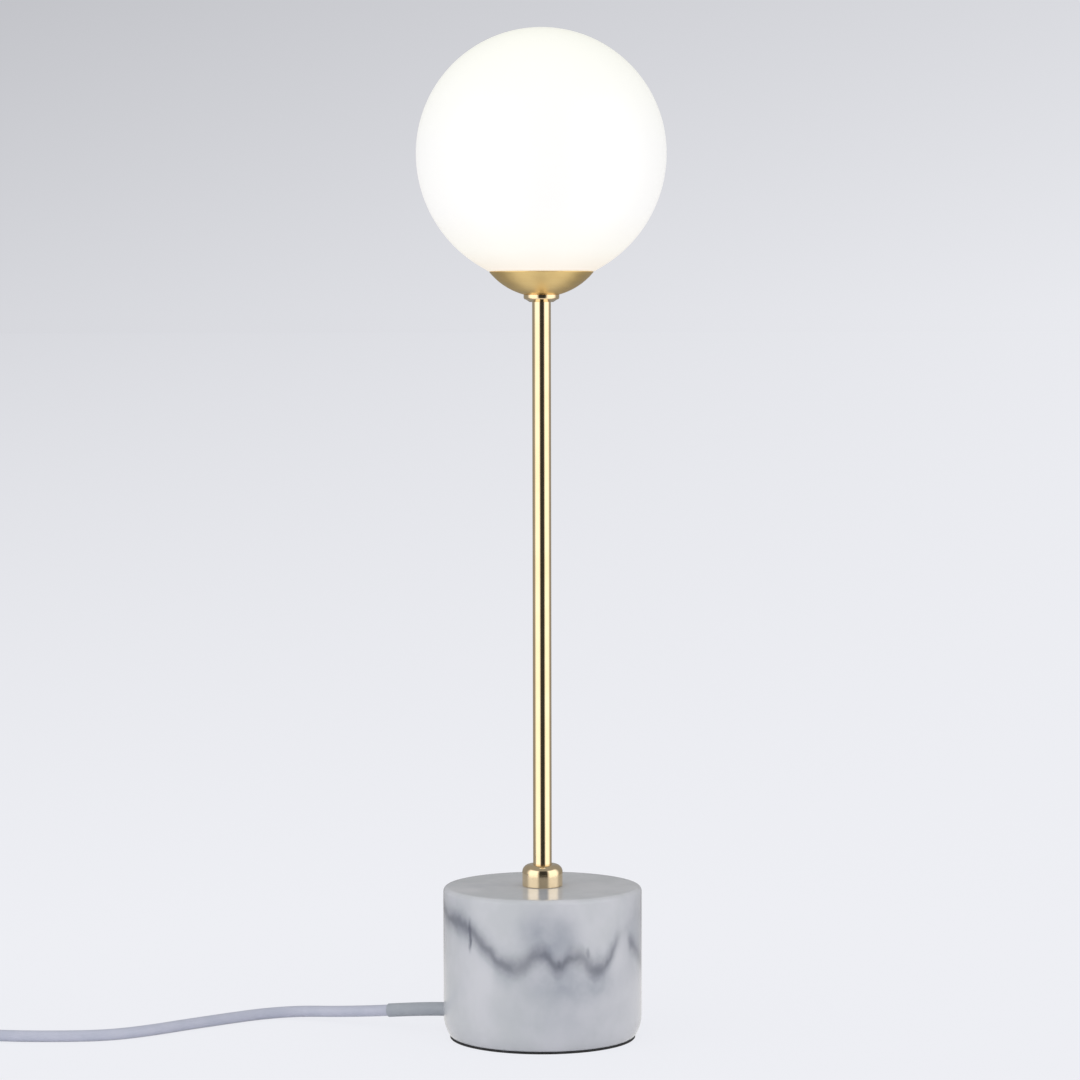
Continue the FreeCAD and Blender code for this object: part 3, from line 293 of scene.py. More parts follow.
marbleValues = {
    "light": (0.56, 0.565, 0.60),
    "shade": (0.49, 0.505, 0.53),
    "vein": (0.115, 0.122, 0.155),
    "cloud": (0.25, 0.275, 0.325),
    "height": 60.0,
    # degrees round the base from its front, then mm above the table
    "mainVein": [(-180, 44), (-150, 39), (-120, 50), (-95, 54), (-69, 51.3), (-56, 50.2), (-45, 47), (-37.4, 43.4),
                 (-31, 39.9), (-22.3, 35.4), (-13.4, 35.1), (-7.6, 38), (-2, 40.1), (3.7, 38.5), (9.3, 35.2),
                 (13.4, 37.5), (17.5, 38.9), (22.3, 38.4), (27, 35), (34.6, 33), (39.6, 35.7), (44.3, 40.1),
                 (53, 47), (75, 52), (105, 46), (140, 50), (180, 44)],
    "sideVein": [(-180, 20), (-120, 26), (-60, 30), (0, 40), (52, 45), (59.5, 41.9), (64.6, 40.1),
                 (69.3, 36.8), (78.4, 33.3), (110, 24), (150, 30), (180, 20)],
    # short upright cracks: degrees, low and high in mm, strength
    "cracks": [(-46.0, 37.5, 54.0, 0.85), (26.5, 37.0, 43.0, 0.4), (9.0, 34.0, 38.5, 0.4)],
    # soft grey patches: clouds in the stone, except the third, low at the front, which is painted shade darkening the
    # lower front; degrees and half width, height and half height in mm, strength
    "patches": [(3, 27, 47, 14, 0.68), (18, 50, 27.5, 11, 0.62), (14, 58, 15, 16, 0.34), (68, 22, 40, 22, 0.3),
                (-140, 40, 42, 15, 0.5), (132, 44, 38, 16, 0.5)],
    # degrees over which a vein fades or starts, and how much of it shows at either end
    "mainFades": (40, 53, 1.0, 0.12), "mainReturns": (95, 115, 0.0, 0.88),
    "sideStarts": (56, 62, 0.0, 0.7), "sideFades": (125, 168, 1.0, 0.0),
    # scales of the noises, and how many mm two of them move a vein
    "wanderScale": 110.0, "wanderReach": 5.0, "frayScale": 300.0, "frayReach": 1.8, "broadScale": 26.0,
    "patchScale": 75.0, "polishScale": 900.0,
    # half widths in mm and how dark each is; a crack's half width and its lean are in radians
    "haze": (12.0, 0.5), "soft": (6.8, 0.5), "core": (3.0, 0.42), "crackWidth": 0.03, "crackLean": 0.05,
    "roughness": 0.16, "specular": 0.4,
}


def veinHeight(turned, points, height):
    curve = addNode(turned.id_data, "FloatCurve", {"Value": turned})
    line = curve.mapping.curves[0]
    while len(line.points) < len(points):
        line.points.new(0.5, 0.5)
    for point, (degrees, z) in zip(line.points, points):
        point.location = (degrees / 360 + 0.5, z / height)
    curve.mapping.update()
    return times(curve.outputs["Value"], height * mm)


def marbleMaterial(v):
    material, tree, surface = newMaterial("polished marble")
    place = objectPlace(tree)
    x, y, z = axes(place)
    angle = arithmetic("ARCTAN2", x, times(y, -1.0))
    turned = plus(arithmetic("DIVIDE", angle, 2 * math.pi), 0.5)
    # both noises move the veins a little off their lines
    wander = minus(noise(place, v["wanderScale"], 3.0, 0.5), 0.5)
    fray = minus(noise(objectPlace(tree, (1.0, 1.0, 0.6)), v["frayScale"], 3.0, 0.5), 0.5)
    height = plus(z, times(wander, v["wanderReach"] * mm))
    frayed = plus(height, times(fray, v["frayReach"] * mm))
    broad = noise(objectPlace(tree, (1.0, 1.0, 0.7)), v["broadScale"], 4.0, 0.6)
    colour = mixColours(between(broad, 0.36, 0.62), v["shade"], v["light"])
    patches = between(noise(place, v["patchScale"], 3.0, 0.55), 0.34, 0.62)
    # each patch mixes in the cloud colour; the low front patch uses it as painted shade, not as a cloud in the stone
    for degrees, halfWidth, middle, halfHeight, strength in v["patches"]:
        aside = arithmetic("DIVIDE", minus(angle, radians(degrees)), radians(halfWidth))
        aloft = arithmetic("DIVIDE", minus(height, middle * mm), halfHeight * mm)
        fromMiddle = arithmetic("SQRT", plus(times(aside, aside), times(aloft, aloft)))
        patch = times(between(fromMiddle, 0.1, 1.0, strength, 0.0),
                      between(patches, 0.0, 1.0, 0.6, 1.0, smooth=False))
        colour = mixColours(patch, colour, v["cloud"])
    # the main vein dies away right of the front and comes back further round
    mainAmount = plus(overDegrees(angle, *v["mainFades"]), overDegrees(angle, *v["mainReturns"]))
    sideAmount = times(overDegrees(angle, *v["sideStarts"]), overDegrees(angle, *v["sideFades"]))
    for points, amount in ((v["mainVein"], mainAmount), (v["sideVein"], sideAmount)):
        vein = veinHeight(turned, points, v["height"])
        away, frayedAway = apart(height, vein), apart(frayed, vein)
        haze, soft, core = (between(far, 0.0, v[part][0] * mm, v[part][1], 0.0)
                            for far, part in ((away, "haze"), (frayedAway, "soft"), (frayedAway, "core")))
        haze = times(haze, between(patches, 0.0, 1.0, 0.35, 1.0, smooth=False))
        core = times(core, between(patches, 0.1, 0.8, 0.4, 1.0))
        for dark, shade in ((haze, "cloud"), (soft, "vein"), (core, "vein")):
            colour = mixColours(times(dark, amount), colour, v[shade])
    for degrees, low, high, strength in v["cracks"]:
        leaning = plus(angle, times(fray, v["crackLean"]))
        across = apart(leaning, radians(degrees))
        middle, half = (low + high) / 2 * mm, (high - low) / 2 * mm
        crack = times(between(across, 0.0, v["crackWidth"], strength, 0.0),
                      between(apart(z, middle), half * 0.3, half, 1.0, 0.0))
        colour = mixColours(crack, colour, v["vein"])
    feed(surface, "Base Color", colour)
    surface.inputs["Roughness"].default_value = v["roughness"]
    surface.inputs["Specular IOR Level"].default_value = v["specular"]
    addBump(surface, noise(place, v["polishScale"], 3.0), 0.05, 0.00002)
    return material


globeGlow = {
    "body": (0.55, 0.55, 0.545, 1), "thin": (0.85, 0.84, 0.82), "strength": 0.53, "low": 0.300, "high": 0.405,
    # colour of the light at shares of the way up
    "stops": [(0.0, (1.0, 0.78, 0.5)), (0.09, (1.0, 0.86, 0.66)), (0.16, (1.0, 0.95, 0.82)),
              (0.3, (0.94, 0.92, 0.885)), (0.55, (0.86, 0.85, 0.825)), (1.0, (0.84, 0.84, 0.70))],
}


def glowingGlassMaterial(v):
    # opal glass: its own white lit from outside, and the bulb's light through it, warmer near the cup
    material, tree, surface = newMaterial("opal glass, lit", Roughness=0.32, Base_Color=v["body"],
                                          Emission_Strength=v["strength"])
    place = objectPlace(tree)
    glow = ramp(between(axes(place)[2], v["low"], v["high"], smooth=False), v["stops"])
    thickness = between(noise(place, 14.0, 2.0), 0.3, 0.7, 0.96, 1.0)
    feed(surface, "Emission Color", mixColours(thickness, v["thin"], glow))
    return material


def clearGlassMaterial():
    material, tree, surface = newMaterial("clear glass", Roughness=0.02, Transmission_Weight=1.0, IOR=1.47,
                                          Base_Color=(0.97, 0.98, 0.98, 1))
    addBump(surface, noise(objectPlace(tree), 60.0), 0.05, 0.0003)
    return material


def lightStripMaterial():
    material, tree, surface = newMaterial("phosphor strip", Roughness=0.5, Emission_Strength=1.5)
    grain = noise(objectPlace(tree), 900.0)
    strip = mixColours(grain, (0.9, 0.72, 0.2), (0.98, 0.85, 0.4))
    feed(surface, "Base Color", strip)
    feed(surface, "Emission Color", strip)
    return material


goldLight, goldDark = (0.93, 0.75, 0.49), (0.89, 0.70, 0.44)
materials = {
    "polished_brass": brassMaterial("polished brass", goldLight, goldDark, 0.09, (30, 30, 2600), 0.00001, 0.05),
    "satin_brass": brassMaterial("satin brass", (0.90, 0.67, 0.30), (0.85, 0.62, 0.27), 0.36,
                                 (60, 60, 3500), 0.00003, 0.3),
    "turned_brass": brassMaterial("turned brass", goldLight, goldDark, 0.22, (30, 30, 2200), 0.00004, 0.4),
    "contact_brass": brassMaterial("pressed brass", goldLight, goldDark, 0.25, (900, 900, 900), 0.00002, 0.3),
    "marble": marbleMaterial(marbleValues),
    "opal_glass": glowingGlassMaterial(globeGlow),
    "clear_glass": clearGlassMaterial(),
    "light_strip": lightStripMaterial(),
}
# slot: name, colour, darker, roughness, scale of its speckle, depth of its bump, and metallic where it is
plainValues = {
    "pad_foam": ("black foam", (0.018, 0.018, 0.019), (0.01, 0.01, 0.011), 0.8, 3000, 0.00015),
    "zinc_steel": ("zinc-plated steel", (0.66, 0.67, 0.66), (0.52, 0.53, 0.55), 0.3, 1500, 0.00003, 1.0),
    "socket_ceramic": ("unglazed ceramic", (0.84, 0.82, 0.77), (0.78, 0.76, 0.71), 0.6, 2500, 0.00006),
    "seal_silicone": ("silicone", (0.80, 0.80, 0.77), (0.74, 0.74, 0.72), 0.45, 800, 0.00004),
    "bulb_plastic": ("bulb base plastic", (0.86, 0.86, 0.84), (0.82, 0.82, 0.80), 0.3, 1800, 0.00002),
    "pin_wire": ("bright wire", (0.72, 0.72, 0.71), (0.62, 0.62, 0.62), 0.18, 1600, 0.00001, 1.0),
    "core_brown_pvc": ("brown core", (0.17, 0.075, 0.035), (0.14, 0.06, 0.03), 0.4, 1200, 0.00002),
    "core_blue_pvc": ("blue core", (0.03, 0.13, 0.42), (0.025, 0.11, 0.36), 0.4, 1200, 0.00002),
    "cord_pvc": ("cord sheath", (0.475, 0.49, 0.585), (0.445, 0.465, 0.56), 0.42, 1500, 0.00004),
    "sleeve_grey": ("sleeve rubber", (0.37, 0.395, 0.43), (0.34, 0.365, 0.405), 0.6, 2200, 0.00008),
    "clamp_nylon": ("nylon", (0.80, 0.80, 0.76), (0.75, 0.75, 0.71), 0.5, 1500, 0.00004),
    "switch_plastic": ("switch plastic", (0.56, 0.58, 0.66), (0.53, 0.55, 0.63), 0.4, 3200, 0.00005),
    "rocker_plastic": ("rocker plastic", (0.74, 0.75, 0.78), (0.71, 0.72, 0.75), 0.3, 2600, 0.00002),
    "tie_nylon": ("tie nylon", (0.84, 0.84, 0.81), (0.79, 0.79, 0.76), 0.45, 1500, 0.00003),
    "plug_plastic": ("plug plastic", (0.56, 0.58, 0.66), (0.53, 0.55, 0.63), 0.42, 3200, 0.00005),
    "plug_pin_nickel": ("nickel", (0.74, 0.71, 0.65), (0.66, 0.63, 0.58), 0.2, 1200, 0.00001, 1.0),
    "pin_sleeve_plastic": ("pin sleeve plastic", (0.05, 0.05, 0.052), (0.04, 0.04, 0.042), 0.45, 1800, 0.00003),
}
for slot, values in plainValues.items():
    materials[slot] = plainMaterial(*values)
for part in frame["record"]["subparts"]:
    setMaterial(nodes[part["node"]], materials[part["material_slot"]])
for cord in (lampCord, plugCord):
    setMaterial(cord, materials["cord_pvc"])
print("materials made")


# Modelling helpers
def deselectAll():
    bpy.ops.object.select_all(action="DESELECT")


def startEdit():
    bpy.ops.object.mode_set(mode="EDIT")


def endEdit():
    bpy.ops.object.mode_set(mode="OBJECT")


def turnedPiece(name, rings, sides=128, ending="join", smoothAngle=35):
    # rings are (radius, height) in mm, run out edge by edge from the first, as on a lathe
    deselectAll()
    radius, height = rings[0]
    bpy.ops.mesh.primitive_circle_add(vertices=sides, radius=radius * mm, location=(0, 0, 0),
                                      fill_type="TRIFAN" if ending == "poles" else "NOTHING")
    piece = bpy.context.object
    piece.name = name
    startEdit()
    bpy.ops.mesh.select_all(action="SELECT")
    bpy.ops.transform.translate(value=(0, 0, height * mm))
    if ending == "poles":
        bpy.ops.mesh.region_to_loop()
    for (lastRadius, lastHeight), (radius, height) in zip(rings, rings[1:]):
        bpy.ops.mesh.extrude_edges_move(TRANSFORM_OT_translate={"value": (0, 0, (height - lastHeight) * mm)})
        bpy.ops.transform.resize(value=(radius / lastRadius, radius / lastRadius, 1),
                                 center_override=(0, 0, height * mm))
    if ending == "join":
        bpy.ops.mesh.select_all(action="DESELECT")
        bpy.ops.mesh.select_mode(type="EDGE")
        bpy.ops.mesh.select_non_manifold(extend=False)
        bpy.ops.mesh.bridge_edge_loops()
    else:
        bpy.ops.mesh.edge_face_add()
        bpy.ops.mesh.poke()
    bpy.ops.mesh.select_all(action="SELECT")
    bpy.ops.mesh.remove_doubles(threshold=1e-7)
    bpy.ops.mesh.normals_make_consistent(inside=False)
    endEdit()
    bpy.ops.object.shade_smooth_by_angle(angle=radians(smoothAngle))
    return piece


def arc(middle, radius, start, end, steps):
    # rings along an arc; angles in degrees from outwards, positive upwards
    return [(middle[0] + radius * math.cos(angle), middle[1] + radius * math.sin(angle))
            for angle in (radians(start + (end - start) * i / steps) for i in range(steps + 1))]


def arcThrough(start, end, bulge, steps):
    # rings along the arc from start to end that stands bulge mm proud of the straight line, on its right
    (r0, z0), (r1, z1) = start, end
    half = math.hypot(r1 - r0, z1 - z0) / 2
    radius = (half * half + bulge * bulge) / (2 * bulge)
    wayR, wayZ = (r1 - r0) / (2 * half), (z1 - z0) / (2 * half)
    middleR = (r0 + r1) / 2 - wayZ * (radius - bulge)
    middleZ = (z0 + z1) / 2 + wayR * (radius - bulge)
    begin = math.atan2(z0 - middleZ, r0 - middleR)
    sweep = 2 * math.asin(half / radius)
    return [(middleR + radius * math.cos(angle), middleZ + radius * math.sin(angle))
            for angle in (begin + sweep * i / steps for i in range(steps + 1))]


def box(name, low, high):
    # corners in mm
    deselectAll()
    bpy.ops.mesh.primitive_cube_add(size=1, location=[(a + b) / 2 * mm for a, b in zip(low, high)])
    piece = bpy.context.object
    piece.name = name
    piece.scale = [(b - a) * mm for a, b in zip(low, high)]
    bpy.ops.object.transform_apply(location=True, rotation=True, scale=True)
    return piece


def pick(piece, kind, wanted):
    # selects parts of the mesh being edited by their place or direction
    bpy.ops.mesh.select_mode(type=kind)
    bpy.ops.mesh.select_all(action="DESELECT")
    mesh = bmesh.from_edit_mesh(piece.data)
    parts = {"VERT": mesh.verts, "EDGE": mesh.edges, "FACE": mesh.faces}[kind]
    for part in parts:
        if wanted(part):
            part.select_set(True)
    mesh.select_flush_mode()
    bmesh.update_edit_mesh(piece.data)


def middleOf(edge):
    return (edge.verts[0].co + edge.verts[1].co) / 2


def runsAlong(edge, axis):
    way = edge.verts[1].co - edge.verts[0].co
    return abs(way[axis]) > 0.99 * way.length


def roundEdges(piece, wanted, radius, steps=4):
    makeActive(piece)
    startEdit()
    pick(piece, "EDGE", wanted)
    bpy.ops.mesh.bevel(offset=radius * mm, segments=steps, profile=0.5, affect="EDGES")
    endEdit()


def makeActive(piece):
    deselectAll()
    piece.select_set(True)
    bpy.context.view_layer.objects.active = piece


def applied(piece, kind, **settings):
    makeActive(piece)
    modifier = piece.modifiers.new(kind.lower(), kind)
    for setting, value in settings.items():
        setattr(modifier, setting, value)
    bpy.ops.object.modifier_apply(modifier=modifier.name)


def discard(piece):
    bpy.data.objects.remove(piece, do_unlink=True)


def bevelSharp(piece, width, steps):
    applied(piece, "BEVEL", width=width * mm, segments=steps, limit_method="ANGLE", angle_limit=radians(50))


def carve(piece, cutter, operation="DIFFERENCE"):
    applied(piece, "BOOLEAN", object=cutter, operation=operation, solver="EXACT")
    discard(cutter)


def place(piece, at=(0, 0, 0), turn=(0, 0, 0)):
    # at in mm, turn in degrees
    makeActive(piece)
    piece.rotation_euler = [radians(a) for a in turn]
    piece.location = [a * mm for a in at]
    bpy.ops.object.transform_apply(location=True, rotation=True, scale=True)
    return piece


def copied(piece, at, turn=(0, 0, 0)):
    makeActive(piece)
    bpy.ops.object.duplicate(linked=False)
    return place(bpy.context.object, at, turn)


def joined(pieces):
    deselectAll()
    for piece in pieces:
        piece.select_set(True)
    bpy.context.view_layer.objects.active = pieces[0]
    bpy.ops.object.join()
    return pieces[0]


def smooth(piece, degrees=35):
    makeActive(piece)
    bpy.ops.object.shade_smooth_by_angle(angle=radians(degrees))
    return piece


def finishPiece(piece, replaced, slot, body="lamp"):
    setMaterial(piece, materials[slot])
    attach(piece, body)
    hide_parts(replaced)
    print(piece.name, "made")
    return piece


# Stone base: bored for the rod, recessed below, its foot drawn in, drilled for the cord
baseValues = {"radius": 40.0, "bottom": 1.0, "top": 61.4, "footHeight": 9.0, "footInset": 2.4, "footFullness": 0.7,
              "edge": 2.0, "recessRadius": 22.0, "recessTop": 21.0, "bore": 5.4, "lowChamfer": 0.4,
              "cordHoleRadius": 3.2, "cordHoleHeight": 8.6, "cordHoleTurn": 160.0,
              "cordHoleFrom": 14.0, "cordHoleTo": 48.0}


def makeMarbleBase(v):
    r, edge, bottom, top, bore = v["radius"], v["edge"], v["bottom"], v["top"], v["bore"]
    recess, footRadius = v["recessRadius"], v["radius"] - v["footInset"]
    rings = [(bore, v["recessTop"]), (recess, v["recessTop"]), (recess, bottom),
             (footRadius - v["lowChamfer"], bottom)]
    rings += arcThrough((footRadius, bottom + v["lowChamfer"]), (r, bottom + v["footHeight"]), v["footFullness"], 14)
    rings += [(r, top - 2 * edge)] + arc((r - edge, top - edge), edge, 0, 90, 10) + [(r - 2 * edge, top), (bore, top)]
    base = turnedPiece("stone_base", rings, 192)
    hole = turnedPiece("cord_hole", [(v["cordHoleRadius"], v["cordHoleFrom"]),
                                     (v["cordHoleRadius"], v["cordHoleTo"])], 48, "poles")
    place(hole, (0, 0, v["cordHoleHeight"]), (0, 90, v["cordHoleTurn"]))
    carve(base, hole)
    return smooth(base)


finishPiece(makeMarbleBase(baseValues), "marble_base", "marble")


# Foam pad under the base
padValues = {"radius": 37.4, "innerRadius": 18.7, "thickness": 1.0, "edge": 0.2}


def makePad(v):
    r, inner, t, edge = v["radius"], v["innerRadius"], v["thickness"], v["edge"]
    rings = [(inner, t), (r - edge, t), (r, t - edge), (r, edge), (r - edge, 0), (inner, 0)]
    return turnedPiece("foot_pad", rings, 160, "poles")


finishPiece(makePad(padValues), "base_pad", "pad_foam")


# Turned collar where the stem meets the base
collarValues = {"radius": 8.15, "bottom": 61.4, "side": 5.8, "dome": 3.0, "lip": 4.65, "fullness": 1.0, "edge": 0.25,
                "shoulder": 0.4, "lipEdge": 0.2, "stemBore": 3.78, "stemSeat": 66.6, "rodBore": 5.05}


def makeCollar(v):
    r, low, edge = v["radius"], v["bottom"], v["edge"]
    sideTop = low + v["side"]
    rings = [(v["rodBore"], low), (r - edge, low), (r, low + edge), (r, sideTop - v["shoulder"])]
    rings += arcThrough((r, sideTop), (v["lip"], sideTop + v["dome"]), v["fullness"], 16)
    top, bore = sideTop + v["dome"], v["stemBore"]
    rings += [(bore + v["lipEdge"], top), (bore, top - v["lipEdge"]), (bore, v["stemSeat"]),
              (v["rodBore"], v["stemSeat"])]
    return turnedPiece("stem_collar", rings, 128)


finishPiece(makeCollar(collarValues), "base_collar", "polished_brass")


# Stem
stemValues = {"radius": 3.75, "bore": 2.75, "bottom": 66.6, "top": 297.4, "edge": 0.2}


def makeStem(v):
    r, edge = v["radius"], v["edge"]
    return turnedPiece("stem", [(v["bore"], v["bottom"]), (r - edge, v["bottom"]), (r, v["bottom"] + edge),
                                (r, v["top"] - edge), (r - edge, v["top"]), (v["bore"], v["top"])], 96)


finishPiece(makeStem(stemValues), "stem_tube", "polished_brass")


# Disc between the stem and the cup
discValues = {"radius": 7.15, "bottom": 296.4, "top": 299.4, "stemLip": 4.75, "taper": 1.0, "edge": 0.9,
              "topEdge": 0.12, "bore": 4.05, "stemBore": 3.78}


def makeDisc(v):
    r, edge, low, bore = v["radius"], v["edge"], v["bottom"], v["bore"]
    rings = [(bore, v["top"]), (r - v["topEdge"], v["top"]), (r, v["top"] - v["topEdge"])]
    rings += arc((r - edge, low + v["taper"] + edge), edge, 0, -90, 8)
    rings += [(v["stemLip"], low), (v["stemBore"], low), (v["stemBore"], low + v["taper"]), (bore, low + v["taper"])]
    return turnedPiece("neck_ring", rings, 128)


finishPiece(makeDisc(discValues), "neck_disc", "polished_brass")


# Spun cup that holds the globe
cupValues = {"ballRadius": 26.827, "ballHeight": 325.257, "bottom": 299.4, "rim": 308.6, "wall": 0.8, "bore": 4.05}


def makeCup(v):
    outer, inner, height = v["ballRadius"], v["ballRadius"] - v["wall"], v["ballHeight"]
    bottom, rim, lip, floor = v["bottom"], v["rim"], v["wall"] * 0.3, v["bottom"] + v["wall"]

    def turnedDown(ball, z):
        return math.degrees(math.asin((z - height) / ball))

    rings = [(v["bore"], bottom)]
    rings += arc((0, height), outer, turnedDown(outer, bottom), turnedDown(outer, rim - lip), 28)
    rings += [(math.sqrt(outer ** 2 - (height - rim) ** 2) - lip, rim)]
    rings += arc((0, height), inner, turnedDown(inner, rim - lip), turnedDown(inner, floor), 20)
    rings += [(v["bore"], floor)]
    return turnedPiece("globe_cup_spun", rings, 144)


finishPiece(makeCup(cupValues), "globe_cup", "satin_brass")


# Blown globe with its neck; the lower half is a little fuller than a ball
globeValues = {"radius": 50.0, "middle": 355.5, "wall": 2.5, "lowRadius": 52.21, "lowOffset": -2.21, "bottom": 308.75,
               "shelf": 311.25, "neckOutside": 15.9, "neckInside": 13.6, "neckBottom": 306.1, "edge": 0.5,
               "neckEdge": 0.2, "outerPole": 87.6, "innerPole": 87.0}


def makeGlobe(v):
    middle, low = (0, v["middle"]), (v["lowOffset"], v["middle"])
    inner, innerLow = v["radius"] - v["wall"], v["lowRadius"] - v["wall"]
    edge, neckEdge, outside, inside = v["edge"], v["neckEdge"], v["neckOutside"], v["neckInside"]
    outerEnd = -math.degrees(math.asin((v["middle"] - v["bottom"] - edge) / v["lowRadius"]))
    innerEnd = -math.degrees(math.asin((v["middle"] - v["shelf"]) / innerLow))
    rings = arc(middle, v["radius"], v["outerPole"], 0, 40) + arc(low, v["lowRadius"], 0, outerEnd, 30)[1:]
    rings += [(rings[-1][0] - edge, v["bottom"]), (outside + edge, v["bottom"]), (outside, v["bottom"] - edge),
              (outside, v["neckBottom"] + neckEdge), (outside - neckEdge, v["neckBottom"]),
              (inside + neckEdge, v["neckBottom"]), (inside, v["neckBottom"] + neckEdge), (inside, v["shelf"])]
    rings += arc(low, innerLow, innerEnd, 0, 16) + arc(middle, inner, 0, v["innerPole"], 24)[1:]
    return turnedPiece("globe_glass", rings, 128, "poles", 50)


finishPiece(makeGlobe(globeValues), "globe", "opal_glass", "globe")


# Sleeve over the cord where it leaves the base; distances in mm along the cord from its start
sleeveValues = {"from": 15.3, "to": 55.8, "radius": 2.87, "tipRadius": 2.78, "edge": 0.35}


def alongLine(line, fromStart, toEnd, extra=()):
    # the line's points between two distances, with any extra distances added
    reached = [0.0]
    for a, b in zip(line, line[1:]):
        reached.append(reached[-1] + (b - a).length)
    marks = sorted({fromStart, toEnd, *extra} | {d for d in reached if fromStart < d < toEnd})
    points = []
    for mark in marks:
        i = max(k for k, d in enumerate(reached[:-1]) if d <= mark)
        share = (mark - reached[i]) / (reached[i + 1] - reached[i])
        points.append((mark, line[i].lerp(line[i + 1], share)))
    return points


def makeSleeve(v, line):
    first, last, edge = v["from"] * mm, v["to"] * mm, v["edge"] * mm
    points = alongLine(line, first, last, (first + edge, last - edge))
    radii = []
    for distance, _ in points:
        share = (distance - first) / (last - first)
        radius = v["radius"] + (v["tipRadius"] - v["radius"]) * share
        radii.append((radius - (v["edge"] if distance in (first, last) else 0)) / v["radius"])
    sleeve, curve, _ = curveThrough("cord_sleeve_tube", "POLY", [at for _, at in points], radii)
    curve.bevel_depth = v["radius"] * mm
    curve.bevel_resolution = 8
    curve.use_fill_caps = True
    makeActive(sleeve)
    bpy.ops.object.convert(target="MESH")
    return smooth(bpy.context.object, 40)


cordSleeve = finishPiece(makeSleeve(sleeveValues, lampCordLine), "cord_sleeve", "sleeve_grey")


# Tie round the coil: a strap with a ribbed tail through its locking head
tieValues = {"turn": 54.0, "middleRadius": 25.9, "halfAcross": 5.75, "low": 0.7, "high": 21.2, "thickness": 0.8,
             "width": 4.0, "corner": 2.3, "headLength": 4.6, "headWidth": 5.2, "headHeight": 3.0, "tailReach": 11.0,
             "tailWidth": 3.4, "tailThickness": 0.7, "ribSpacing": 0.9, "edge": 0.12, "headEdge": 0.45,
             "slotPlay": 0.15, "slotOver": 0.5, "tailBack": 1.5, "tipCorner": 1.2, "ribInset": 0.5,
             "ribWidth": 0.4, "ribHeight": 0.22, "plainTip": 3.6}


def makeTie(v, coilMiddle):
    across, t = v["halfAcross"] + v["thickness"], v["thickness"]
    strap = box("coil_tie", (-across, -v["width"] / 2, v["low"] - t), (across, v["width"] / 2, v["high"] + t))
    roundEdges(strap, lambda e: runsAlong(e, 1), v["corner"] + t, 7)
    startEdit()
    pick(strap, "FACE", lambda f: abs(f.normal.y) > 0.9)
    bpy.ops.mesh.delete(type="FACE")
    endEdit()
    applied(strap, "SOLIDIFY", thickness=t * mm, offset=-1)
    bevelSharp(strap, v["edge"], 2)
    top, b, play = v["high"] + t, v["tailWidth"] / 2, v["slotPlay"]
    reach, c = v["headLength"] / 2, v["headWidth"] / 2
    head = box("tie_head", (-reach, -c, v["high"] + t / 2), (reach, c, top + v["headHeight"]))
    tailLow = top + v["headHeight"] / 3
    tailTop = tailLow + v["tailThickness"]
    slot = box("tie_slot", (-9, -b - play, tailLow - play), (9, b + play, tailTop + v["slotOver"]))
    roundEdges(head, lambda e: True, v["headEdge"], 3)
    carve(head, slot)
    tail = box("tie_tail", (-v["tailBack"], -b, tailLow), (v["tailReach"], b, tailTop))
    roundEdges(tail, lambda e: runsAlong(e, 2) and middleOf(e).x > 0, v["tipCorner"], 3)
    rib = box("tie_rib", (0, -b + v["ribInset"], tailTop - 0.05),
              (v["ribWidth"], b - v["ribInset"], tailTop + v["ribHeight"]))
    roundEdges(rib, lambda e: runsAlong(e, 1) and middleOf(e).z > tailTop * mm, v["edge"], 2)
    ribs = [rib]
    while len(ribs) * v["ribSpacing"] < v["tailReach"] - v["plainTip"]:
        ribs.append(copied(rib, (len(ribs) * v["ribSpacing"], 0, 0)))
    for each in ribs:
        place(each, (reach - 0.2, 0, 0))
    tie = joined([strap, head, tail] + ribs)
    place(tie, (v["middleRadius"], 0, 0))
    place(tie, (0, 0, 0), (0, 0, v["turn"]))
    place(tie, (coilMiddle[0] / mm, coilMiddle[1] / mm, 0))
    return smooth(tie, 30)


coilTie = finishPiece(makeTie(tieValues, plugCordValues["coilMiddle"]), "cord_tie", "tie_nylon")


# In-line switch: two shells, and a rocker tipped to its on side
switchValues = {"middle": (-290.0, -12.0), "length": 62.0, "width": 24.0, "height": 15.0, "parting": 6.0,
                "corner": 6.0, "wall": 1.6, "topEdge": 2.0, "lowEdge": 1.0, "partingEdge": 0.25, "cordHole": 2.35,
                "windowLength": 22.4, "windowWidth": 10.6, "frameWidth": 1.3, "frameHeight": 0.35, "ridges": 5,
                "ridgeSpacing": 1.7, "ridgeLength": 13.0, "postRadius": 2.6, "postBore": 1.2, "postAlong": 25.0,
                "postAcross": 7.4, "frameCorner": 1.2, "frameEdge": 0.3, "ridgesFrom": 18.0, "ridgeWidth": 0.8,
                "ridgeHeight": 0.4, "ridgeEdge": 0.3, "earHalf": 3.0, "earThickness": 1.8, "earLow": 8.5,
                "earEdge": 0.8}


def shellBox(v, name, low, high, inset=0.0):
    (x, y), a, b = v["middle"], v["length"] / 2 - inset, v["width"] / 2 - inset
    shell = box(name, (x - a, y - b, low), (x + a, y + b, high))
    roundEdges(shell, lambda e: runsAlong(e, 2), v["corner"] - inset, 8)
    return shell


def cordWay(v):
    hole = turnedPiece("cord_way", [(v["cordHole"], -40.0), (v["cordHole"], 40.0)], 32, "poles")
    return place(hole, (*v["middle"], v["parting"]), (0, 90, 0))


def posts(v, low, high):
    made = []
    for side in (-1, 1):
        post = turnedPiece("screw_post", [(v["postBore"], low), (v["postRadius"], low), (v["postRadius"], high),
                                          (v["postBore"], high)], 32)
        x, y = v["middle"]
        made.append(place(post, (x - side * v["postAlong"], y + side * v["postAcross"], 0)))
    return made


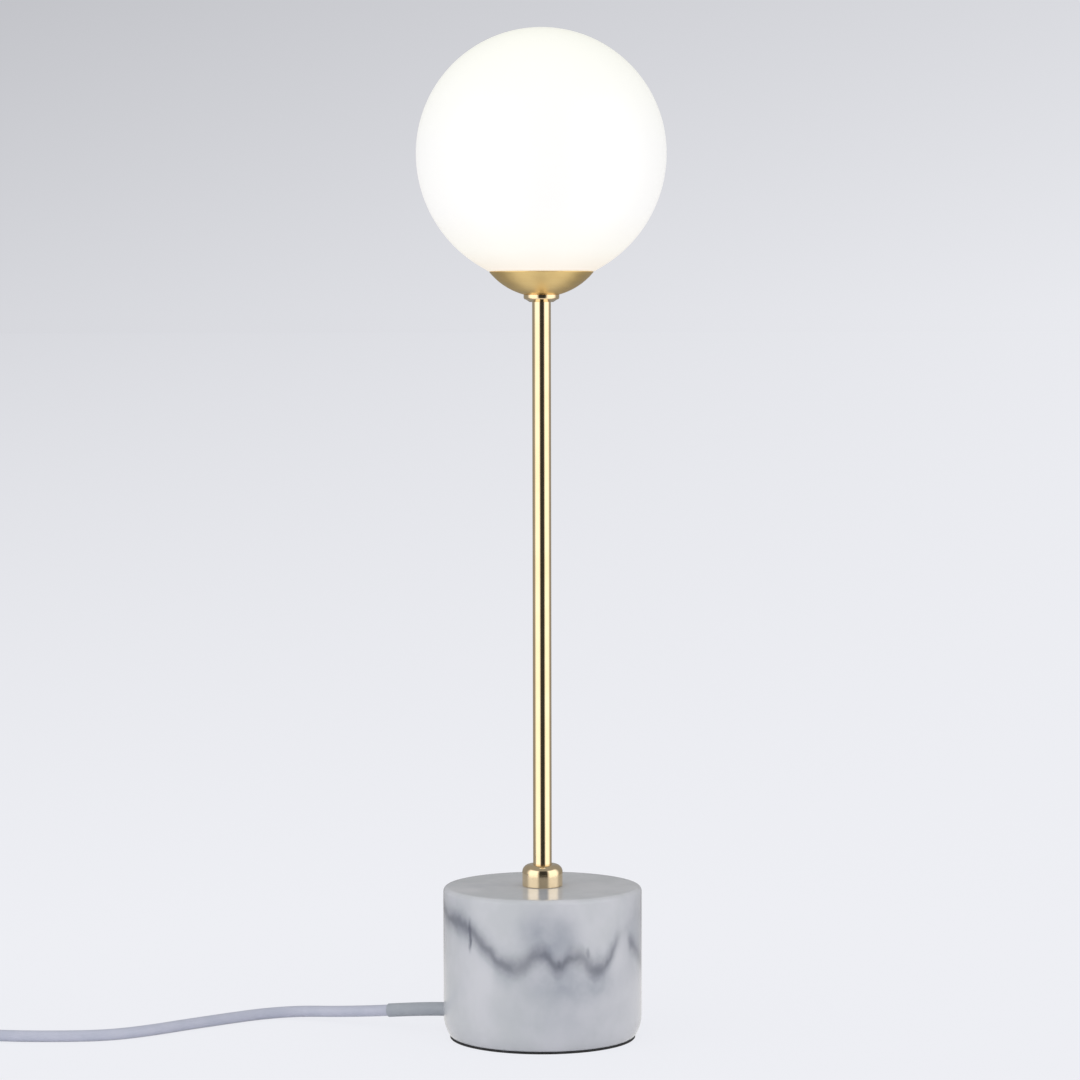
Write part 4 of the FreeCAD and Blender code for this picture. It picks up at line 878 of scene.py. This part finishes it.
def makeSwitchLower(v):
    shell = shellBox(v, "switch_bottom", 0, v["parting"])
    roundEdges(shell, lambda e: e.verts[0].co.z < 1e-6 and e.verts[1].co.z < 1e-6, v["lowEdge"], 4)
    top = v["parting"] * mm - 1e-6
    roundEdges(shell, lambda e: e.verts[0].co.z > top and e.verts[1].co.z > top, v["partingEdge"], 1)
    carve(shell, shellBox(v, "switch_room", v["wall"], v["parting"] + 1, v["wall"]))
    carve(shell, cordWay(v))
    return smooth(joined([shell] + posts(v, v["wall"] * 0.8, v["parting"])))


def makeSwitchUpper(v):
    (x, y), high = v["middle"], v["height"]
    shell = shellBox(v, "switch_top", v["parting"], high)
    roundEdges(shell, lambda e: min(w.co.z for w in e.verts) > high * mm - 1e-6, v["topEdge"], 6)
    low = v["parting"] * mm + 1e-6
    roundEdges(shell, lambda e: max(w.co.z for w in e.verts) < low, v["partingEdge"], 1)
    a, b = v["windowLength"] / 2, v["windowWidth"] / 2
    c, d = a + v["frameWidth"], b + v["frameWidth"]
    frame = box("window_frame", (x - c, y - d, high - 1), (x + c, y + d, high + v["frameHeight"]))
    roundEdges(frame, lambda e: runsAlong(e, 2), v["frameCorner"], 4)
    roundEdges(frame, lambda e: min(w.co.z for w in e.verts) > high * mm, v["frameEdge"], 2)
    carve(shell, frame, "UNION")
    carve(shell, shellBox(v, "switch_room", v["parting"] - 1, high - v["wall"], v["wall"]))
    carve(shell, box("window", (x - a, y - b, high - 4), (x + a, y + b, high + 2)))
    carve(shell, cordWay(v))
    ridge = box("grip_ridge", (0, -v["ridgeLength"] / 2, high - 0.3),
                (v["ridgeWidth"], v["ridgeLength"] / 2, high + v["ridgeHeight"]))
    roundEdges(ridge, lambda e: max(w.co.z for w in e.verts) > high * mm, v["ridgeEdge"], 3)
    ridges, ears = [], []
    for side in (-1, 1):
        for i in range(v["ridges"]):
            along = side * (v["ridgesFrom"] + i * v["ridgeSpacing"]) - v["ridgeWidth"] / 2
            ridges.append(copied(ridge, (x + along, y, 0)))
        near, far = sorted((y + side * b, y + side * (b + v["earThickness"])))
        ears.append(box("rocker_ear", (x - v["earHalf"], near, v["earLow"]),
                        (x + v["earHalf"], far, high - v["wall"] / 2)))
        roundEdges(ears[-1], lambda e: runsAlong(e, 1), v["earEdge"], 3)
    discard(ridge)
    return smooth(joined([shell] + ridges + ears + posts(v, v["parting"], high - v["wall"] / 2)))


switchBottom = finishPiece(makeSwitchLower(switchValues), "switch_lower", "switch_plastic")
switchTop = finishPiece(makeSwitchUpper(switchValues), "switch_upper", "switch_plastic")

rockerValues = {"middle": (-290.0, -12.0), "pivot": 10.5, "length": 20.0, "width": 9.4, "endHeight": 5.6,
                "dish": 1.1, "sideLow": 3.2, "keelReach": 4.0, "keel": -1.6, "noseHalf": 1.2, "nose": -4.2,
                "tilt": 8.0, "bore": 1.05, "edge": 0.45, "dishSteps": 16, "markFrom": -6.3, "markTo": -3.7,
                "markHalf": 0.35, "markHeight": 0.18, "ringPlace": 5.2, "ringRadius": 1.25, "ringThickness": 0.33}


def makeRocker(v):
    half, b = v["length"] / 2, v["width"] / 2
    rocker = box("rocker", (-half, -b, v["sideLow"]), (half, b, v["endHeight"]))
    startEdit()
    pick(rocker, "EDGE", lambda e: runsAlong(e, 0))
    bpy.ops.mesh.subdivide(number_cuts=v["dishSteps"] - 1)
    for reach, lowest in ((half * 0.66, 0.8), (v["keelReach"], v["keel"]), (v["noseHalf"] + 0.8, v["nose"])):
        pick(rocker, "VERT", lambda w: w.co.z < v["sideLow"] * mm + 1e-6 and abs(w.co.x) < reach * mm + 1e-5)
        bpy.ops.transform.resize(value=(1, 1, 0), center_override=(0, 0, lowest * mm))
    for i in range(1, v["dishSteps"]):
        x = -half + v["length"] * i / v["dishSteps"]
        pick(rocker, "VERT", lambda w: w.co.z > v["endHeight"] * mm - 1e-6 and abs(w.co.x - x * mm) < 1e-5)
        bpy.ops.transform.translate(value=(0, 0, -v["dish"] * mm * (1 - (x / half) ** 2)))
    endEdit()
    bevelSharp(rocker, v["edge"], 3)
    bore = turnedPiece("pivot_bore", [(v["bore"], -9.0), (v["bore"], 9.0)], 24, "poles")
    carve(rocker, place(bore, (0, 0, 0), (90, 0, 0)))
    surface = v["endHeight"] - v["dish"] * (1 - 0.6 ** 2)
    bar = box("on_mark", (v["markFrom"], -v["markHalf"], surface - 0.6),
              (v["markTo"], v["markHalf"], surface + v["markHeight"]))
    roundEdges(bar, lambda e: max(w.co.z for w in e.verts) > surface * mm, 0.1, 2)
    deselectAll()
    bpy.ops.mesh.primitive_torus_add(major_radius=v["ringRadius"] * mm, minor_radius=v["ringThickness"] * mm,
                                     major_segments=40, minor_segments=10,
                                     location=(v["ringPlace"] * mm, 0, (surface + 0.02) * mm))
    ring = bpy.context.object
    bpy.ops.object.transform_apply(location=True, rotation=True, scale=True)
    startEdit()
    bpy.ops.mesh.select_all(action="SELECT")
    bpy.ops.transform.resize(value=(1, 1, 0.6), center_override=(0, 0, surface * mm))
    endEdit()
    whole = joined([rocker, bar, ring])
    place(whole, (0, 0, 0), (0, v["tilt"], 0))
    place(whole, (*v["middle"], v["pivot"]))
    return smooth(whole, 30)


rocker = finishPiece(makeRocker(rockerValues), "switch_rocker", "rocker_plastic", "rocker")


# Two-pin plug, lying with its pins towards the lamp
plugValues = {"rear": (-289.0, 53.0, 6.85), "face": 34.0, "faceLength": 9.0, "width": 35.3, "thickness": 13.7,
              "neckWidth": 13.0, "neckThickness": 10.4, "edge": 2.2, "faceEdge": 0.5, "bootLength": 8.0,
              "bootRadius": 4.6, "bootTip": 3.2, "grooves": 4, "pinSpacing": 19.0, "pinRadius": 2.0,
              "pinLength": 19.0, "tip": 0.9, "sleeveLength": 10.0, "sleeveRadius": 1.8, "rootRadius": 1.5,
              "waistRadius": 1.3, "rootLength": 9.0, "slopeSteps": 8, "bootBore": 2.2, "bootRoot": 2.4,
              "grooveDepth": 0.55, "grips": 6, "gripsFrom": 6.0, "gripSpacing": 2.4, "gripWidth": 0.9,
              "gripHalf": 3.2, "gripDepth": 0.45, "gripEdge": 0.3}


def makePlug(v):
    # along +X from the rear of its body, then moved to its place
    a, b, slopeLength = v["width"] / 2, v["thickness"] / 2, v["face"] - v["faceLength"]

    def narrowed(share, full, neck):
        return full + (neck - full) * (share * share * (3 - 2 * share) * 0.5 + share * 0.5)

    body = box("plug", (slopeLength, -a, -b), (v["face"], a, b))
    startEdit()
    pick(body, "FACE", lambda f: f.normal.x < -0.9)
    wide, thick, steps = v["width"], v["thickness"], v["slopeSteps"]
    for i in range(1, steps + 1):
        newWide = narrowed(i / steps, v["width"], v["neckWidth"])
        newThick = narrowed(i / steps, v["thickness"], v["neckThickness"])
        bpy.ops.mesh.extrude_region_move(TRANSFORM_OT_translate={"value": (-slopeLength / steps * mm, 0, 0)})
        bpy.ops.transform.resize(value=(1, newWide / wide, newThick / thick), center_override=(0, 0, 0))
        wide, thick = newWide, newThick
    endEdit()
    front = v["face"] * mm - 1e-6
    roundEdges(body, lambda e: not all(w.co.x > front for w in e.verts) and len(e.link_faces) == 2
               and e.link_faces[0].normal.angle(e.link_faces[1].normal) > radians(50), v["edge"], 5)
    roundEdges(body, lambda e: all(w.co.x > front for w in e.verts), v["faceEdge"], 2)
    tip, root, length, bore = v["bootTip"], v["bootRadius"], v["bootLength"], v["bootBore"]
    rings = [(bore, 0.0), (tip - 0.3, 0.0), (tip, 0.3)]
    pitch = (length - 1.2) / v["grooves"]
    for i in range(v["grooves"]):
        z = 0.9 + i * pitch
        r = tip + (root - tip) * z / length
        low = r - v["grooveDepth"]
        rings += [(r, z), (low, z + 0.12), (low, z + 0.62), (r + 0.1, z + 0.74)]
    rings += [(root, length - 0.2), (root, length + v["bootRoot"]), (bore, length + v["bootRoot"])]
    boot = turnedPiece("plug_boot", rings, 64)
    place(boot, (-length, 0, 0), (0, 90, 0))
    grip = box("plug_grip", (0, -v["gripDepth"], -v["gripHalf"]), (v["gripWidth"], v["gripDepth"], v["gripHalf"]))
    roundEdges(grip, lambda e: True, v["gripEdge"], 2)
    grips = []
    for side in (-1, 1):
        for i in range(v["grips"]):
            along = v["gripsFrom"] + i * v["gripSpacing"]
            half = narrowed(1 - along / slopeLength, v["width"], v["neckWidth"]) / 2
            grips.append(copied(grip, (along, side * (half - 0.05), 0)))
    discard(grip)
    whole = joined([body, boot] + grips)
    place(whole, v["rear"])
    return smooth(whole, 35)


def makePins(v):
    r, tip, waist, sleeved = v["pinRadius"], v["tip"], v["waistRadius"], v["sleeveLength"]
    root, buried = v["rootRadius"], -v["rootLength"]
    rings = [(root * 0.4, buried), (root, buried), (root, 0), (waist, 0), (waist, sleeved), (r - 0.1, sleeved),
             (r, sleeved + 0.1)]
    rings += arc((r - tip, v["pinLength"] - tip), tip, 0, 80, 6)
    return pinPair(v, turnedPiece("plug_pin_set", rings, 40, "poles"))


def makePinSleeves(v):
    r, bore, end = v["sleeveRadius"], v["waistRadius"], v["sleeveLength"]
    rings = [(bore, 0), (r, 0), (r, end - 0.15), (r - 0.15, end), (bore, end)]
    return pinPair(v, turnedPiece("pin_sleeve_set", rings, 40))


def pinPair(v, piece):
    place(piece, (0, 0, 0), (0, 90, 0))
    x, y, z = v["rear"]
    other = copied(piece, (x + v["face"], y + v["pinSpacing"] / 2, z))
    place(piece, (x + v["face"], y - v["pinSpacing"] / 2, z))
    return smooth(joined([piece, other]), 40)


plug = finishPiece(makePlug(plugValues), "plug_body", "plug_plastic")
plugPins = finishPiece(makePins(plugValues), "plug_pins", "plug_pin_nickel")
pinSleeves = finishPiece(makePinSleeves(plugValues), "plug_pin_sleeves", "pin_sleeve_plastic")


# Floor and backdrop. The soft boxes stand either side of the camera, with a dark gap between them
studioValues = {"gapMiddle": 5.0, "gapHalf": 29.0, "gapEdge": 10.0, "boxEnd": 94.0, "boxEndEdge": 16.0,
                "boxTop": 0.65, "boxTopEdge": 0.1, "box": 1.42, "gap": 0.04, "back": 0.32, "ceiling": 0.34,
                "softBox": 1.68, "softBack": 0.7, "softCeiling": 0.85, "softEnd": (64, 114), "softGap": (8, 31),
                "softGapLevel": 0.5, "softLeft": 1.06, "softRight": 0.92}
backdropValues = {"lowLeft": (0.679, 0.686, 0.723), "lowRight": (0.815, 0.823, 0.863),
                  "highLeft": (0.546, 0.552, 0.584), "highRight": (0.701, 0.708, 0.745), "halfView": 0.145,
                  "viewTop": 0.082}
floorValues = {"radius": 60.0, "near": (0.855, 0.863, 0.905), "farLeft": (0.679, 0.686, 0.723),
               "farRight": (0.815, 0.823, 0.863), "ownLight": 0.9, "gain": 1.005, "halfWay": 3.0, "sideWay": 1.5,
               "halfView": 0.145, "tableFrom": 0.1, "tableTo": 0.35, "tableShine": 0.85,
               "tint": (1.0, 0.985, 0.96, 1)}


def inReflections(rays):
    return arithmetic("MAXIMUM", rays["Is Glossy Ray"], rays["Is Transmission Ray"])


def emptyTree(owner):
    owner.use_nodes = True
    owner.node_tree.nodes.clear()
    return owner.node_tree


def studioRound(x, y, v):
    # how bright the studio is in each direction round the lamp, as polished metal shows it
    azimuth = arithmetic("ARCTAN2", x, times(y, -1.0))
    fromGap = apart(azimuth, radians(v["gapMiddle"]))
    opened = overDegrees(fromGap, v["gapHalf"] - v["gapEdge"], v["gapHalf"] + v["gapEdge"], v["gap"], v["box"])
    ended = overDegrees(fromGap, v["boxEnd"] - v["boxEndEdge"], v["boxEnd"] + v["boxEndEdge"],
                        0.0, v["box"] - v["back"])
    return minus(opened, ended), fromGap


def makeFloor(v):
    deselectAll()
    bpy.ops.mesh.primitive_circle_add(vertices=96, radius=v["radius"], fill_type="TRIFAN", location=(0, 0, 0))
    floor = bpy.context.object
    floor.name = "floor"
    material = bpy.data.materials.new("pale floor")
    tree = emptyTree(material)
    coords = addNode(tree, "TexCoord").outputs["Object"]
    x, y, _ = axes(coords)
    away = addNode(tree, "VectorMath", {0: coords}, operation="LENGTH").outputs["Value"]
    faded = arithmetic("DIVIDE", away, plus(away, v["halfWay"]))
    side = arithmetic("DIVIDE", x, plus(away, v["sideWay"]))
    far = mixColours(between(side, -v["halfView"], v["halfView"], smooth=False), v["farLeft"], v["farRight"])
    colour = mixColours(between(faded, 0.1, 1.0, smooth=False), v["near"], far)
    lit = addNode(tree, "BsdfDiffuse", {"Color": colour})
    plain = addNode(tree, "Emission", {"Color": colour, "Strength": v["gain"]})
    rays = addNode(tree, "LightPath").outputs
    table = addNode(tree, "MixShader", {0: times(rays["Is Camera Ray"], v["ownLight"]),
                                        1: lit.outputs["BSDF"], 2: plain.outputs["Emission"]})
    # in reflections the table is pale near the lamp and the studio takes over further out
    sides = studioRound(x, y, studioValues)[0]
    spread = between(away, v["tableFrom"], v["tableTo"])
    shine = plus(times(spread, sides), times(minus(1.0, spread), v["tableShine"]))
    mirrored = addNode(tree, "Emission", {"Color": v["tint"], "Strength": shine})
    mix = addNode(tree, "MixShader", {0: inReflections(rays), 1: table.outputs["Shader"],
                                      2: mirrored.outputs["Emission"]})
    addNode(tree, "OutputMaterial", {"Surface": mix.outputs["Shader"]})
    floor.data.materials.append(material)


makeFloor(floorValues)
print("floor laid")


def makeStudio(v, backdropColours):
    world = bpy.data.worlds.new("studio")
    bpy.context.scene.world = world
    tree = emptyTree(world)
    x, y, z = axes(addNode(tree, "TexCoord").outputs["Generated"])
    # pale backdrop, darker higher up and to the left
    c = backdropColours
    side = between(x, -c["halfView"], c["halfView"], smooth=False)
    low = mixColours(side, c["lowLeft"], c["lowRight"])
    high = mixColours(side, c["highLeft"], c["highRight"])
    backdrop = mixColours(between(z, 0.0, c["viewTop"], smooth=False), low, high)
    sides, fromGap = studioRound(x, y, v)
    up = between(z, v["boxTop"] - v["boxTopEdge"], v["boxTop"] + v["boxTopEdge"])
    mirrored = mixColours(up, sides, (v["ceiling"],) * 3)
    # the same boxes as a softer, evener light on everything dull
    softRound = overDegrees(fromGap, *v["softEnd"], v["softBox"], v["softBack"])
    softGap = overDegrees(fromGap, *v["softGap"], v["softGapLevel"], 1.0)
    softSide = times(softGap, between(x, -1.0, 1.0, v["softLeft"], v["softRight"]))
    soft = mixColours(up, times(softRound, softSide), (v["softCeiling"],) * 3)
    rays = addNode(tree, "LightPath").outputs
    room = mixColours(inReflections(rays), soft, mirrored)
    shown = mixColours(rays["Is Camera Ray"], room, backdrop)
    background = addNode(tree, "Background", {"Color": shown, "Strength": 1.0})
    addNode(tree, "OutputWorld", {"Surface": background.outputs["Background"]})


makeStudio(studioValues, backdropValues)
print("studio lit")

view = bpy.context.scene.view_settings
view.view_transform = "Standard"

bpy.context.view_layer.update()
